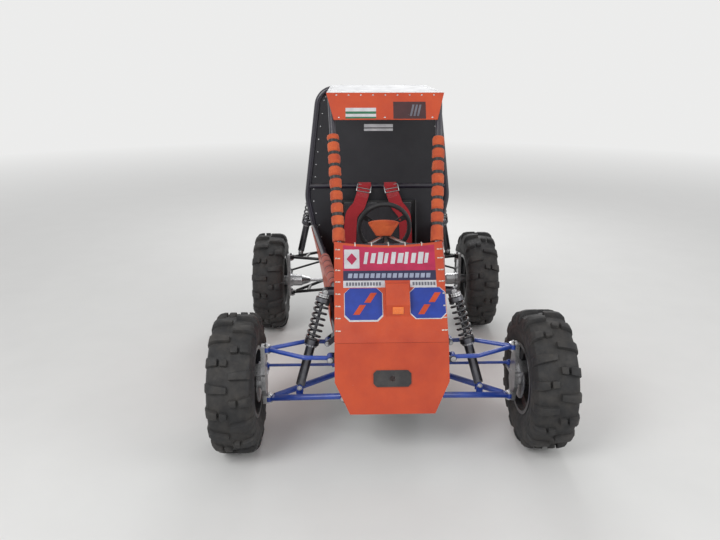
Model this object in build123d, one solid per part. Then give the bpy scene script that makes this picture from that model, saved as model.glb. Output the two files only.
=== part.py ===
from build123d import *
import os
from math import cos, hypot, pi, radians, sin, tan

# Single-seat off-road buggy. Millimetres, +Z up, the nose points to -Y, +X is the driver's left.
# The origin is on the ground, midway between the axles and on the centre plane.

# Wheels and where they stand
wheelbase = 1464.0
front_track = 1385.0          # between the tyres' middle planes
rear_track = 1375.0
tyre_diameter = 635.0         # to the tips of the lugs
tyre_width = 200.0
lug_height = 16.0
lugs_per_side = 17
lug_end = 9.0                 # half the plain band between the two rows of lugs
rim_diameter = 305.0          # at the bead seats
rim_width = 178.0
rim_wall = 4.0
rim_lip = 12.0                # flange height above the bead seat
rim_disc_inset = 66.0         # from the rim's outer edge in to its disc
rim_disc_step = 7.0           # how far the disc's middle is set in
rim_hole_circle = 103.0
rim_hole_radius = 13.0
rim_holes = 8
hub_radius = 62.0
hub_bore = 24.0
hub_barrel = 30.0
hub_nose = 30.0
spindle_radius = 17.0
rotor_radius = 92.0
rotor_thickness = 4.0
rotor_inset = 10.0            # from the hub's inner end
stub_radius = 24.0
cup_radius = 38.0
cup_length = 58.0
shaft_radius = 11.0

# Frame tubes
frame_tube = 32.0
cross_tube = 30.0
brace_tube = 25.0
post_tube = 22.0
floor_height = 262.0          # centre of the lower rails above the ground
roof_height = 1572.0          # centre of the roof tubes
hoop_from_axle = 1165.0
hoop_foot_half = 285.0
hoop_waist_half = 421.0
hoop_waist_height = 945.0
hoop_top_half = 340.0
hoop_top_bend = 100.0
hoop_waist_bend = 230.0
roof_front_half = 264.0
roof_rear_half = 250.0
roof_front_from_axle = 560.0
roof_drop = 18.0              # the roof's front edge is lower than its back
dash_half = 228.0
dash_from_axle = 222.0
dash_height = 893.0
crease_half = 232.0
crease_ahead = 62.0           # ahead of the front axle
crease_height = 528.0
nose_knee_height = 372.0
nose_foot_half = 170.0
nose_foot_ahead = 168.0
side_rail_front = 66.0        # where the side rail leaves the bonnet rail
side_rail_rear_height = 765.0
susp_rail_height = 500.0
knee_post_from_axle = 300.0
seat_tubes_from_axle = (790.0, 930.0)
engine_tubes_from_axle = (1235.0, 1368.0)
gearbox_tube_from_axle = 1562.0
tail_from_axle = 1700.0
tail_half = 205.0
tail_top_height = 690.0
tail_mid_height = 500.0
tail_low_height = 290.0
stay_root_height = 1120.0
crown_root_height = 1372.0
shoulder_bar_height = 1010.0

# Sheet parts
panel_thickness = 3.0
sheet_gap = 0.3               # between a panel and the tube that it lies on
flange_depth = 20.0
sill_overhang = 18.0
sill_dip = 20.0
nose_overhang = 20.0
roof_overhang = 20.0
visor_top = 12.0              # above the roof tube's middle, along the pillars
visor_drop = 138.0
visor_low_half = 250.0
hatch_from_middle = (-21.0, 85.0)
hatch_steps = (116.0, 160.0, 262.0, 276.0)    # foot, crown, crown, foot, up the bonnet from the crease
hatch_rise = 31.0

# Suspension hard points
kingpin_half = 560.0
rear_kingpin_half = 555.0
upper_ball_above_axle = 161.5
lower_ball_below_axle = 86.5
lower_arm_tube = 28.0
upper_arm_tube = 20.0
pivot_reach = 40.0            # from a rail's centre out to an arm's pivot
bush_diameter = 30.0
bush_length = 44.0
ball_housing_diameter = 34.0
ball_housing_height = 22.0
kingpin_diameter = 12.0
ear_thickness = 6.0
ear_radius = 13.0
steering_arm = 100.0          # kingpin to tie rod, along the car
steering_arm_offset = 15.0
upright_inset = 6.0           # from the kingpin's line out to the upright's plate
upright_thickness = 18.0
upright_neck = 22.0           # half width at the ball joints
upright_waist = 50.0          # half width at the axle
tie_eye_height = 16.0
tie_eye_radius = 13.0
toe_height = 352.0
toe_arm_depth = 12.0
rack_height = 350.0
rack_half = 170.0             # half the rack housing's length
rack_housing_radius = 22.0
rack_foot_half = 120.0
rack_end_half = 240.0         # half the length between the tie rods' inner joints
rack_bar_diameter = 22.0
tie_rod_diameter = 14.0
shock_body = 42.0
shock_rod = 14.0
shock_eye_width = 26.0
spring_diameter = 70.0
spring_wire = 9.0
spring_turns = 7

# Running clearances
pin_clearance = 0.3
face_clearance = 0.5
open_pivot_gap = 1.5

# Cockpit
steering_wheel_diameter = 280.0
steering_rim = 26.0
steering_wheel_from_axle = 505.0
steering_wheel_height = 915.0
steering_wheel_tilt = 12.0    # degrees back from upright
wheel_hub_radius = 26.0
spoke_width = 32.0
spoke_thickness = 4.0
column_diameter = 20.0
column_joint_reach = 184.0    # from the wheel forward to the joint in its shaft
column_bearing_reach = 92.0
bearing_length = 50.0
bearing_radius = 20.0
joint_ball_radius = 15.0
joint_cup_radius = 20.0
strut_root_half = 110.0
strut_radius = 9.0
dash_panel_from_axle = 370.0
dash_panel_thickness = 16.0
dash_panel_shift = -12.0      # the panel's middle, towards the car's right
dash_panel_top_half = 78.0
dash_panel_low_half = 37.0
dash_panel_corner_height = 968.0
dash_panel_crown_height = 986.0
dash_panel_low_height = 902.0
pillar_pad_diameter = 60.0
pillar_pad_low = 906.0
pillar_pad_high = 1378.0
seat_half = 228.0
seat_wall = 6.0
seat_pad_half = 212.0
seat_pad_thickness = 36.0
shoulder_belt_width = 74.0
strap_at_bar = 77.0           # from the centre plane to the strap's middle
strap_at_seat_top = 104.0
lap_belt_from_axle = 955.0
buckle_from_axle = 884.0
lap_belt_width = 50.0
belt_thickness = 3.0
buckle_size = (62.0, 48.0, 13.0)
pedal_offset = 72.0
pedal_top_from_axle = -34.0
pedal_height = 172.0          # above the floor sheet
pedal_size = (62.0, 70.0, 8.0)

# Engine and drive
engine_plate_height = 366.0
engine_plate_thickness = 8.0
crank_above_plate = 108.0
crank_from_axle = 1300.0
drive_centres = 240.0         # crankshaft to the gearbox's input shaft
drive_pulley_room = 108.0     # radius of the belt cover's ends
drive_cover_width = 80.0
gearbox_half = 118.0
gearbox_body_half = 70.0
cylinder_lean = 50.0          # degrees up from level, towards the rear
engine_plate_half = 130.0
crankcase_right, crankcase_left = 88.0, 92.0
crankcase_half_depth = 85.0
cylinder_core = 104.0
first_fin = 92.0              # from the crankshaft up the cylinder
head_width = 118.0
filter_radius = 36.0
filter_reach = 118.0          # from the cylinder's middle line, up and forward
filter_level = 130.0
cylinder_fin = 134.0
cylinder_fins = 7
head_fins = 6
fin_pitch = 12.5
fin_thickness = 4.0
blower_radius = 104.0
blower_width = 58.0
recoil_radius = 78.0
recoil_width = 34.0
grille_slots = 14
fuel_tank_size = (300.0, 190.0, 170.0)
fuel_tank_low = 760.0
muffler_radius = 52.0
muffler_half = 115.0
exhaust_radius = 13.0

# Towing plates
tow_half = 83.0
tow_corner = 14.0
tow_high, tow_low = 420.0, 353.0
tow_thickness = 6.0
tow_hole_radius = 12.0
hitch_half = 34.0
hitch_thickness = 8.0
hitch_hole_height = 258.0

# Worked-out places
wheel_radius = tyre_diameter / 2
front_axle = -wheelbase / 2
rear_axle = wheelbase / 2
tube_r = frame_tube / 2
cross_r = cross_tube / 2
brace_r = brace_tube / 2
post_r = post_tube / 2
SIDES = (("right", -1), ("left", 1))
X = Vector(1, 0, 0)
Y = Vector(0, 1, 0)
Z = Vector(0, 0, 1)


def at(x, y, z):
    """A point, with y measured back from the front axle."""
    return Vector(x, y + front_axle, z)


def between(a, b, share):
    return a + (b - a) * share


def point_at_y(a, b, y):
    """The point of line a-b that lies y behind the front axle."""
    return between(a, b, (y + front_axle - a.Y) / (b.Y - a.Y))


def point_at_z(a, b, z):
    return between(a, b, (z - a.Z) / (b.Z - a.Z))


def other_side(point):
    return Vector(-point.X, point.Y, point.Z)


def rod(a, b, radius):
    """A plain cylinder from a to b."""
    run = b - a
    standing = (Align.CENTER, Align.CENTER, Align.MIN)
    return Plane(origin=a, z_dir=run) * Cylinder(radius, run.length, align=standing)


def bent(points, radius, bends):
    """A round bar along straight runs joined by tangent bends."""
    path = FilletPolyline(*points, radius=bends)
    start = Plane(origin=path @ 0, z_dir=path % 0)
    return sweep(start * Circle(radius), path=path)


def pipe(a, b, outer, inner):
    return rod(a, b, outer) - rod(a, b, inner)


def disc(centre, axis, radius, thickness):
    """A cylinder centred on a point."""
    return rod(centre - axis * (thickness / 2), centre + axis * (thickness / 2), radius)


def block(x, y, z):
    """A box from three (low, high) ranges, with y measured back from the front axle."""
    size = (x[1] - x[0], y[1] - y[0], z[1] - z[0])
    middle = at((x[0] + x[1]) / 2, (y[0] + y[1]) / 2, (z[0] + z[1]) / 2)
    return Pos(middle) * Box(*size)


def side_profile(points, low_x, high_x):
    """A side outline of (y, z) points, with y from the front axle, extruded across the car."""
    corners = [at(low_x, y, z) for y, z in points]
    return extrude(make_face(Polyline(*corners, close=True)), amount=high_x - low_x, dir=(1, 0, 0))


def offset_line(points, distance):
    """An open line of (y, z) points moved sideways, with its corners mitred."""
    moved = []
    for index, (y, z) in enumerate(points):
        normals = []
        for a, b in ((index - 1, index), (index, index + 1)):
            if a >= 0 and b < len(points):
                dy, dz = points[b][0] - points[a][0], points[b][1] - points[a][1]
                run = hypot(dy, dz)
                normals.append((-dz / run, dy / run))
        ny = sum(n[0] for n in normals) / len(normals)
        nz = sum(n[1] for n in normals) / len(normals)
        scale = distance / (ny * ny + nz * nz)
        moved.append((y + ny * scale, z + nz * scale))
    return moved


def mirrored(shape):
    return mirror(shape, about=Plane.YZ)


def biggest(shape):
    """The largest solid, which drops crumbs left by a cope."""
    return max(shape.solids(), key=lambda s: s.volume)


def near(a, b):
    """Whether the boxes of two shapes meet."""
    one, two = a.bounding_box(), b.bounding_box()
    lows = zip(one.min, two.max)
    highs = zip(two.min, one.max)
    return all(low <= high for low, high in lows) and all(low <= high for low, high in highs)


def coped(shape, others):
    """A shape cut back where other solids pass, so that they meet face to face."""
    for other in others:
        if near(shape, other):
            shape = shape - other
    return biggest(shape)


# Frame hard points on the left side. The right side mirrors them.
hoop_foot = at(hoop_foot_half, hoop_from_axle, floor_height)
hoop_waist = at(hoop_waist_half, hoop_from_axle, hoop_waist_height)
hoop_top = at(hoop_top_half, hoop_from_axle, roof_height)
rail_root = at(hoop_foot_half + 2, hoop_from_axle, floor_height)
roof_rear = at(roof_rear_half, hoop_from_axle, roof_height)
roof_front = at(roof_front_half, roof_front_from_axle, roof_height - roof_drop)
dash = at(dash_half, dash_from_axle, dash_height)
crease = at(crease_half, -crease_ahead, crease_height)
nose_foot = at(nose_foot_half, -nose_foot_ahead, floor_height)
nose_line = point_at_z(crease, nose_foot, nose_knee_height)
nose_knee = Vector(crease_half, nose_line.Y, nose_knee_height)
side_front = point_at_y(dash, crease, side_rail_front)
side_rear = point_at_z(hoop_foot, hoop_waist, side_rail_rear_height)
susp_front = point_at_z(nose_knee, crease, susp_rail_height)
susp_rear = point_at_z(hoop_foot, hoop_waist, susp_rail_height)
knee_low = point_at_y(nose_foot, rail_root, knee_post_from_axle)
knee_high = point_at_y(side_front, side_rear, knee_post_from_axle)
knee_mid = point_at_z(knee_low, knee_high, susp_rail_height)
tail_low = at(tail_half, tail_from_axle, tail_low_height)
tail_mid = at(tail_half, tail_from_axle, tail_mid_height)
tail_top = at(tail_half, tail_from_axle, tail_top_height)
stay_root = point_at_z(hoop_waist, hoop_top, stay_root_height)
mid_root = point_at_z(hoop_foot, hoop_waist, tail_mid_height)
crown_root = point_at_z(hoop_waist, hoop_top, crown_root_height)
shoulder = point_at_z(hoop_waist, hoop_top, shoulder_bar_height)


def frame_tubes():
    """Every frame tube as (node, solid). Each is coped to the ones before it, on the left, then mirrored."""
    made = []

    def add(node, tube, paired=True):
        tube = coped(tube, [other for _, other in made])
        made.append((node, tube))
        if paired:
            mirrors.append((node, mirrored(tube)))

    mirrors = []
    add("lower_rails", bent([nose_foot, rail_root, tail_low], tube_r, [300.0]))
    made.extend(mirrors)
    mirrors.clear()
    corners = [hoop_foot, hoop_waist, hoop_top]
    corners += [other_side(corner) for corner in reversed(corners)]
    bends = [hoop_waist_bend, hoop_top_bend, hoop_top_bend, hoop_waist_bend]
    add("rear_roll_hoop", bent(corners, tube_r, bends), paired=False)
    add("overhead_rails", bent([roof_rear, roof_front, dash, crease], tube_r, [90.0, 120.0]))
    add("side_rails", rod(side_front, side_rear, tube_r))
    add("frame_posts", bent([crease, nose_knee, nose_foot], tube_r, [60.0]))
    made.extend(mirrors)
    mirrors.clear()

    across = [
        (crease, cross_r), (nose_foot, cross_r), (dash, cross_r), (roof_front, cross_r), (rail_root, cross_r),
        (shoulder, cross_r), (tail_low, brace_r), (tail_top, brace_r), (knee_low, brace_r),
    ]
    for from_axle in seat_tubes_from_axle:
        across.append((point_at_y(nose_foot, rail_root, from_axle), brace_r))
    for from_axle in (*engine_tubes_from_axle, gearbox_tube_from_axle):
        across.append((point_at_y(rail_root, tail_low, from_axle), brace_r))
    for end, radius in across:
        add("cross_tubes", rod(end, other_side(end), radius), paired=False)

    add("side_rails", rod(susp_front, susp_rear, brace_r))
    add("frame_posts", rod(tail_low, tail_top, brace_r))
    add("rear_stays", rod(stay_root, tail_top, brace_r))
    add("rear_braces", rod(mid_root, tail_mid, post_r))
    add("rear_braces", rod(crown_root, between(stay_root, tail_top, 0.72), brace_r))
    add("frame_posts", rod(knee_low, knee_mid, post_r))
    add("frame_posts", rod(knee_mid, knee_high, post_r))
    return made + mirrors


def wheel_places():
    """Columns: name, side, middle plane of the tyre, axle."""
    return [
        ("front_left", 1, front_track / 2, front_axle),
        ("front_right", -1, -front_track / 2, front_axle),
        ("rear_left", 1, rear_track / 2, rear_axle),
        ("rear_right", -1, -rear_track / 2, rear_axle),
    ]


def turned(outline, centre):
    """A closed outline of (distance along the axle, radius) points, turned about the axle."""
    face = make_face(Polyline(*[(x, 0, r) for x, r in outline], close=True))
    return Pos(centre) * revolve(face, Axis.X)


def tyre(centre):
    """A closed ring of flat facets, with lugs on every second sector, left and right in turn."""
    sectors = 2 * lugs_per_side
    flats = cos(pi / sectors)
    half = tyre_width / 2
    inner = rim_width / 2 - rim_wall - pin_clearance
    bead = (rim_diameter / 2 + pin_clearance) / flats
    flange = (rim_diameter / 2 + rim_lip + 1.5) / flats
    top, base = wheel_radius, wheel_radius - lug_height
    wall = (half - 2, top - 62)
    side_wall = [(inner, bead), (inner, flange), (half - 5, flange + 22), wall]
    groove = [wall, (half - 8, base - 18), (half - 32, base), (lug_end, base)]
    lug = [wall, (half, top - 32), (half - 22, top - 3), (lug_end, top), (lug_end, base)]
    lug_end_wall = lug + [groove[2], groove[1]]
    turns = [2 * pi * k / sectors - pi / 2 for k in range(sectors + 1)]
    faces = []

    def spot(x, r, turn):
        return centre + X * x + Y * (r * cos(turn)) + Z * (r * sin(turn))

    def facet(corners, flip):
        faces.append(Face(Wire.make_polygon(corners[::-1] if flip else corners, close=True)))

    def band(outline, low, high, flip=False):
        for (x0, r0), (x1, r1) in zip(outline, outline[1:]):
            facet([spot(x0, r0, low), spot(x0, r0, high), spot(x1, r1, high), spot(x1, r1, low)], flip)

    for sector, (low, high) in enumerate(zip(turns, turns[1:])):
        for side in (1, -1):
            lugged = (sector % 2 == 0) == (side > 0)
            tread = lug if lugged else groove
            band([(side * x, r) for x, r in side_wall + tread[1:]], low, high, side < 0)
            if lugged:
                for turn in (low, high):
                    corners = [spot(side * x, r, turn) for x, r in lug_end_wall]
                    facet(corners, (turn == high) == (side > 0))
        band([(lug_end, base), (-lug_end, base)], low, high)
        band([(-inner, bead), (inner, bead)], low, high)
    return Solid(Shell(faces))


def rim(centre):
    """Rolled barrel with its flanges, and a pierced disc, for the left side."""
    half = rim_width / 2
    seat = rim_diameter / 2
    lip = seat + rim_lip
    well = seat - 20
    skin = [
        (-half, lip), (-half + rim_wall, lip), (-half + rim_wall, seat), (-half + 32, seat), (-half + 44, well),
        (half - 62, well), (half - 50, seat), (half - rim_wall, seat), (half - rim_wall, lip), (half, lip),
    ]
    inside = [
        (half, seat - rim_wall), (half - 48, seat - rim_wall), (half - 60, well - rim_wall),
        (-half + 42, well - rim_wall), (-half + 30, seat - rim_wall), (-half, seat - rim_wall),
    ]
    face_x = half - rim_disc_inset
    back_x = face_x - rim_disc_step
    dish = [
        (face_x, hub_bore), (face_x, hub_radius), (face_x + 16, hub_radius + 20), (face_x + 10, well - 2),
        (face_x + 4, well - 2), (face_x + 9, hub_radius + 23), (back_x, hub_radius + 4), (back_x, hub_bore),
    ]
    plate = turned(dish, centre)
    for step in range(rim_holes):
        turn = 2 * pi * (step + 0.5) / rim_holes
        spot = centre + Y * (cos(turn) * rim_hole_circle) + Z * (sin(turn) * rim_hole_circle)
        plate = plate - disc(spot, X, rim_hole_radius, rim_width)
    return biggest(turned(skin + inside, centre) + plate)


def wheel_hub(centre, inner_x, with_rotor):
    """Hub on the left side: flange on the rim's disc, nose through it, barrel inwards to inner_x."""
    face_x = centre.X + rim_width / 2 - rim_disc_inset - rim_disc_step
    flange = rod(Vector(face_x - 10, centre.Y, centre.Z), Vector(face_x, centre.Y, centre.Z), hub_radius)
    barrel = rod(Vector(inner_x, centre.Y, centre.Z), Vector(face_x, centre.Y, centre.Z), hub_barrel)
    nose = rod(Vector(face_x, centre.Y, centre.Z), Vector(face_x + hub_nose, centre.Y, centre.Z), hub_bore)
    hub = flange + barrel + nose
    if with_rotor:
        rotor_x = inner_x + rotor_inset
        hub = hub + disc(Vector(rotor_x, centre.Y, centre.Z), X, rotor_radius, rotor_thickness)
    return hub


def wishbone(outer, inner_front, inner_rear, radius, elbows=None):
    """Two legs from the ball joint to two bushes, as one welded piece, with an upright bore at the ball."""
    bones = disc(outer, Z, ball_housing_diameter / 2, ball_housing_height)
    for index, inner in enumerate((inner_front, inner_rear)):
        if elbows is None:
            bones = bones + rod(outer, inner, radius)
        else:
            bones = bones + bent([outer, elbows[index], inner], radius, [25.0])
    if elbows is None:
        bones = bones + rod(between(outer, inner_front, 0.42), between(outer, inner_rear, 0.42), radius)
    for inner in (inner_front, inner_rear):
        bones = bones + disc(inner, Y, bush_diameter / 2, bush_length)
    room = ball_housing_diameter / 2 + 14
    tall = ball_housing_height / 2 + 30
    for side in (-1, 1):
        middle = outer + Z * (side * (tall + ball_housing_height / 2) / 2)
        bones = bones - disc(middle, Z, room, tall - ball_housing_height / 2)
    bones = bones - disc(outer, Z, kingpin_diameter / 2 + pin_clearance, ball_housing_height + 4)
    return biggest(bones)


def upright(upper, lower, centre, inner_x):
    """Milled plate between the left side's two ball joints, with ears and pins round each of them."""
    reach = ball_housing_height / 2 + face_clearance
    ear_half = 18.0
    low, top = lower.Z - reach - ear_thickness, upper.Z + reach + ear_thickness
    neck, waist = upright_neck, upright_waist
    front_edge = [
        (neck, low), (neck + 8, low + 44), (waist, centre.Z - 22), (waist, centre.Z + 22),
        (neck + 8, top - 44), (neck, top),
    ]
    outline = front_edge + [(-y, z) for y, z in reversed(front_edge)]
    corners = [Vector(inner_x, centre.Y + y, z) for y, z in outline]
    body = extrude(make_face(Polyline(*corners, close=True)), amount=upright_thickness, dir=(1, 0, 0))
    for ball in (upper, lower):
        for side in (-1, 1):
            level = ball.Z + side * (reach + ear_thickness / 2)
            reach_x = inner_x + upright_thickness / 2
            middle_x = (ball.X + reach_x) / 2
            ear = Pos(middle_x, centre.Y, level) * Box(reach_x - ball.X, 2 * ear_half, ear_thickness)
            body = body + ear + disc(Vector(ball.X, centre.Y, level), Z, ear_half, ear_thickness)
        body = body - disc(ball, Z, ball_housing_diameter / 2 + 5, ball_housing_height + 2 * face_clearance)
        body = body + disc(ball, Z, kingpin_diameter / 2, 2 * reach + 2)
    return body


front_centre = at(front_track / 2, 0, wheel_radius)
rear_centre = Vector(rear_track / 2, rear_axle, wheel_radius)
upper_ball_height = wheel_radius + upper_ball_above_axle
lower_ball_height = wheel_radius - lower_ball_below_axle
front_upper_ball = at(kingpin_half, 0, upper_ball_height)
front_lower_ball = at(kingpin_half, 0, lower_ball_height)
rear_upper_ball = at(rear_kingpin_half, wheelbase, upper_ball_height)
rear_lower_ball = at(rear_kingpin_half, wheelbase, lower_ball_height)
tie_rod_outer = at(kingpin_half + steering_arm_offset, steering_arm, rack_height)
tie_rod_inner = at(rack_end_half, steering_arm, rack_height)
knuckle_plate_x = kingpin_half + upright_inset
rear_plate_x = rear_kingpin_half + upright_inset
toe_outer_x = rear_plate_x + upright_thickness / 2 - 4


def on_axle(centre, low_x, high_x, radius):
    """A round piece on a wheel's own axis."""
    return rod(Vector(low_x, centre.Y, centre.Z), Vector(high_x, centre.Y, centre.Z), radius)


def front_knuckle():
    body = upright(front_upper_ball, front_lower_ball, front_centre, knuckle_plate_x)
    outer_x = knuckle_plate_x + upright_thickness
    body = body + on_axle(front_centre, knuckle_plate_x, outer_x + 4, 40.0)
    eye_top = rack_height - tie_eye_height / 2 - open_pivot_gap
    arm_width, arm_depth = 22.0, 14.0
    eye_middle = Vector(tie_rod_outer.X, tie_rod_outer.Y, eye_top - arm_depth / 2)
    eye = disc(eye_middle, Z, tie_eye_radius, arm_depth)
    root_x = knuckle_plate_x + upright_thickness / 2
    arm_start = front_centre.Y + 30
    arm_middle = ((root_x + tie_rod_outer.X) / 2, (arm_start + tie_rod_outer.Y) / 2, eye_top - arm_depth / 2)
    arm = Pos(*arm_middle) * Box(arm_width, tie_rod_outer.Y - arm_start, arm_depth)
    spindle_end = front_centre.X + rim_width / 2 - rim_disc_inset + hub_nose - 12
    spindle = on_axle(front_centre, outer_x, spindle_end, spindle_radius)
    return biggest(body + arm + eye + spindle + brake_caliper())


def brake_caliper():
    """Caliper with its slot over the rotor, bolted behind the axle above the steering arm."""
    rotor_x = knuckle_plate_x + upright_thickness + 4 + 2 + 10
    y, z = front_centre.Y, front_centre.Z
    turn = radians(122)
    out = Vector(0, cos(turn), sin(turn))
    middle = Vector(rotor_x, y, z) + out * (rotor_radius - 14)
    plane = Plane(origin=middle, x_dir=X, z_dir=out)
    body = plane * Box(36, 62, 44)
    slot = plane * Pos(0, 0, -6) * Box(rotor_thickness + 4, 70, 44)
    lug_start = Vector(knuckle_plate_x + upright_thickness / 2, y, z) + out * 40
    lug = Plane(origin=lug_start + out * 20, x_dir=X, z_dir=out) * Box(upright_thickness, 30, 40)
    return body - slot + lug


def front_hub():
    inner_x = knuckle_plate_x + upright_thickness + 6
    hub = wheel_hub(front_centre, inner_x, with_rotor=True)
    end_x = front_centre.X + rim_width / 2 - rim_disc_inset + hub_nose - 11
    return biggest(hub - on_axle(front_centre, inner_x - 1, end_x, spindle_radius + pin_clearance))


def rear_upright():
    body = upright(rear_upper_ball, rear_lower_ball, rear_centre, rear_plate_x)
    boss = on_axle(rear_centre, rear_plate_x - 14, rear_plate_x + upright_thickness, 42.0)
    bore = on_axle(rear_centre, rear_plate_x - 60, rear_plate_x + 60, stub_radius + pin_clearance)
    toe_arm = Pos(toe_outer_x, rear_centre.Y + 62, toe_height) * Box(26, 36, toe_arm_depth)
    return biggest(body + boss + toe_arm - bore)


def rear_hub():
    """Hub and drive shaft with its two booted joints, all on the wheel's own axis."""
    hub = wheel_hub(rear_centre, rear_plate_x + upright_thickness + 2, with_rotor=False)

    def boot(cup_x, out):
        start = Vector(cup_x, rear_centre.Y, rear_centre.Z)
        cone = Cone(cup_radius - 3, shaft_radius + 5, 56, align=(Align.CENTER, Align.CENTER, Align.MIN))
        return Plane(origin=start, z_dir=X * out) * cone

    inner_cup = gearbox_half + sheet_gap + 2
    outer_cup = rear_plate_x - 14 - 2
    hub = hub + on_axle(rear_centre, inner_cup, rear_plate_x + 40, shaft_radius)
    hub = hub + on_axle(rear_centre, outer_cup - 4, rear_plate_x + 30, stub_radius)
    for low_x, boot_x, out in (
        (inner_cup, inner_cup + cup_length, 1),
        (outer_cup - cup_length, outer_cup - cup_length, -1),
    ):
        hub = hub + on_axle(rear_centre, low_x, low_x + cup_length, cup_radius) + boot(boot_x, out)
    return biggest(hub)


def shock(low, high):
    """The damper with its rod and eyes, and the coil spring as a ribbed sleeve round it."""
    run = (high - low).normalized()
    length = (high - low).length

    def along(share):
        return low + run * (length * share)

    spring_low, spring_high = 0.50, 0.89
    damper = rod(along(0.02), along(spring_low), shock_body / 2)
    damper = damper + rod(along(spring_low - 0.05), along(spring_low), spring_diameter / 2 - 1)
    damper = damper + rod(along(spring_low), along(0.97), shock_rod / 2)
    damper = damper + rod(along(spring_high), along(spring_high + 0.04), spring_diameter / 2 - 1)
    for end in (low, high):
        damper = damper + disc(end, Y, 14.0, shock_eye_width)
    trim = shock_eye_width / 2
    for end in (low, high):
        for side in (-1, 1):
            damper = damper - disc(end + Y * (side * (trim + 10)), Y, 24.0, 20.0)
    pitch = length * (spring_high - spring_low) / spring_turns
    valley = spring_diameter / 2 - spring_wire * 0.7
    outline = []
    for turn in range(spring_turns):
        base = length * spring_low + turn * pitch
        outline += [(valley, base), (spring_diameter / 2, base + pitch / 2)]
    outline.append((valley, length * spring_high))
    bore = spring_diameter / 2 - spring_wire
    outline += [(bore, length * spring_high), (bore, length * spring_low)]
    side_dir = run.cross(Y).normalized()
    corners = [low + side_dir * r + run * h for r, h in outline]
    spring = revolve(make_face(Polyline(*corners, close=True)), Axis(low, run))
    return biggest(damper), spring


def bracket(pivot, anchor, gap, tube_radius, tubes):
    """A welded U that carries a pivot along Y, with its web saddled on a tube whose centre is at anchor."""
    run = anchor - pivot
    length = run.length
    plane = Plane(origin=pivot, x_dir=run.normalized(), z_dir=Y)
    width = gap + 2 * ear_thickness
    body = plane * (Pos(length / 2, 0, 0) * Box(length, 2 * ear_radius, width) + Cylinder(ear_radius, width))
    slot_end = length - tube_radius - 7
    slot = plane * Pos((slot_end - 30) / 2, 0, 0) * Box(slot_end + 30, 3 * ear_radius, gap)
    return coped(body - slot, tubes)


# Sheet planes: the bonnet and the nose, each lying on its tubes
bonnet_run = Vector(0, dash.Y - crease.Y, dash.Z - crease.Z)
bonnet_plane = Plane(origin=(0, crease.Y, crease.Z), x_dir=X, z_dir=X.cross(bonnet_run))
nose_run = Vector(0, crease.Y - nose_foot.Y, crease.Z - nose_foot.Z)
nose_plane = Plane(origin=(0, crease.Y, crease.Z), x_dir=X, z_dir=X.cross(nose_run))
sheet_low = tube_r + sheet_gap
crease_turn = radians(bonnet_run.get_angle(nose_run))
mitre = sheet_low * tan(crease_turn / 2) - 0.1
panel_half = crease_half + tube_r + panel_thickness + 1.0
sheet_room = [
    bonnet_plane * Pos(0, 0, tube_r + 50) * Box(4 * panel_half, 3 * bonnet_run.length, 100),
    nose_plane * Pos(0, 0, tube_r + 50) * Box(4 * panel_half, 3 * nose_run.length, 100),
]


os.makedirs("parts", exist_ok=True)
nodes = {}


def put(name, *shapes):
    """Adds solids to a node."""
    for shape in shapes:
        nodes.setdefault(name, []).extend(shape.solids())


def put_pair(name, shape):
    put(name, shape, mirrored(shape))


tubes = frame_tubes()
for node, solid in tubes:
    put(node, solid)
tube_solids = [solid for _, solid in tubes]

carcass = tyre(Vector(0, 0, 0))
for name, side, x, y in wheel_places():
    centre = Vector(x, y, wheel_radius)
    wheel_rim = rim(Vector(abs(x), y, wheel_radius))
    put("tyre_" + name, carcass.moved(Location(centre)))
    put("rim_" + name, wheel_rim if side > 0 else mirrored(wheel_rim))

for name, shape in (("hub_front", front_hub()), ("knuckle", front_knuckle()), ("hub_rear", rear_hub())):
    put(name + "_left", shape)
    put(name + "_right", mirrored(shape))
put_pair("rear_uprights", rear_upright())


def inner_pivot(rail, y, dz):
    """A pivot beside a rail at y behind the front axle, and its anchor on the rail."""
    anchor = point_at_y(*rail, y)
    return anchor + X * pivot_reach + Z * dz, anchor


lower_rail = (nose_foot, rail_root)
tail_rail = (rail_root, tail_low)
susp_rail = (susp_front, susp_rear)
mid_rail = (mid_root, tail_mid)
front_upper_height = 466.0
post_anchor = point_at_z(nose_knee, crease, front_upper_height)
post_anchor = post_anchor + Y * (bush_length / 2 + ear_thickness - tube_r + 1)
post_pivot = post_anchor + X * pivot_reach

# Columns: arm, outer ball, (pivot, anchor) front and rear, tube radius, radius of each rail, elbows
arm_table = [
    ("front_lower", front_lower_ball, inner_pivot(lower_rail, -95, 26), inner_pivot(lower_rail, 135, 26),
     lower_arm_tube / 2, (tube_r, tube_r), None),
    ("front_upper", front_upper_ball, (post_pivot, post_anchor), inner_pivot(susp_rail, 100, -32),
     upper_arm_tube / 2, (tube_r, brace_r), (at(385, -86, 474), at(385, 88, 476))),
    ("rear_upper", rear_upper_ball, inner_pivot(mid_rail, 1350, -6), inner_pivot(mid_rail, 1590, -6),
     upper_arm_tube / 2, (brace_r, brace_r), None),
    ("rear_lower", rear_lower_ball, inner_pivot(tail_rail, 1350, 20), inner_pivot(tail_rail, 1590, 20),
     upper_arm_tube / 2, (tube_r, tube_r), None),
]
# Columns: dampers, lower eye, upper eye, rail that carries the upper eye, the arm that carries the lower one
shock_table = [
    ("front", at(415, 0, 290), at(292, 90, 722), (dash, crease), tube_r, "front_lower"),
    ("rear", at(490, wheelbase, 517), at(380, 1303, 988), (stay_root, tail_top), brace_r, "rear_upper"),
]
arms = {}
for name, outer, front, rear, radius, rail_radii, elbows in arm_table:
    arms[name] = wishbone(outer, front[0], rear[0], radius, elbows)
    for (pivot, anchor), rail_radius in zip((front, rear), rail_radii):
        carrier = bracket(pivot, anchor, bush_length + 2 * pin_clearance, rail_radius, tube_solids)
        put_pair("arm_brackets", coped(carrier, [sheet_room[1]]) if "front" in name else carrier)

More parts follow.
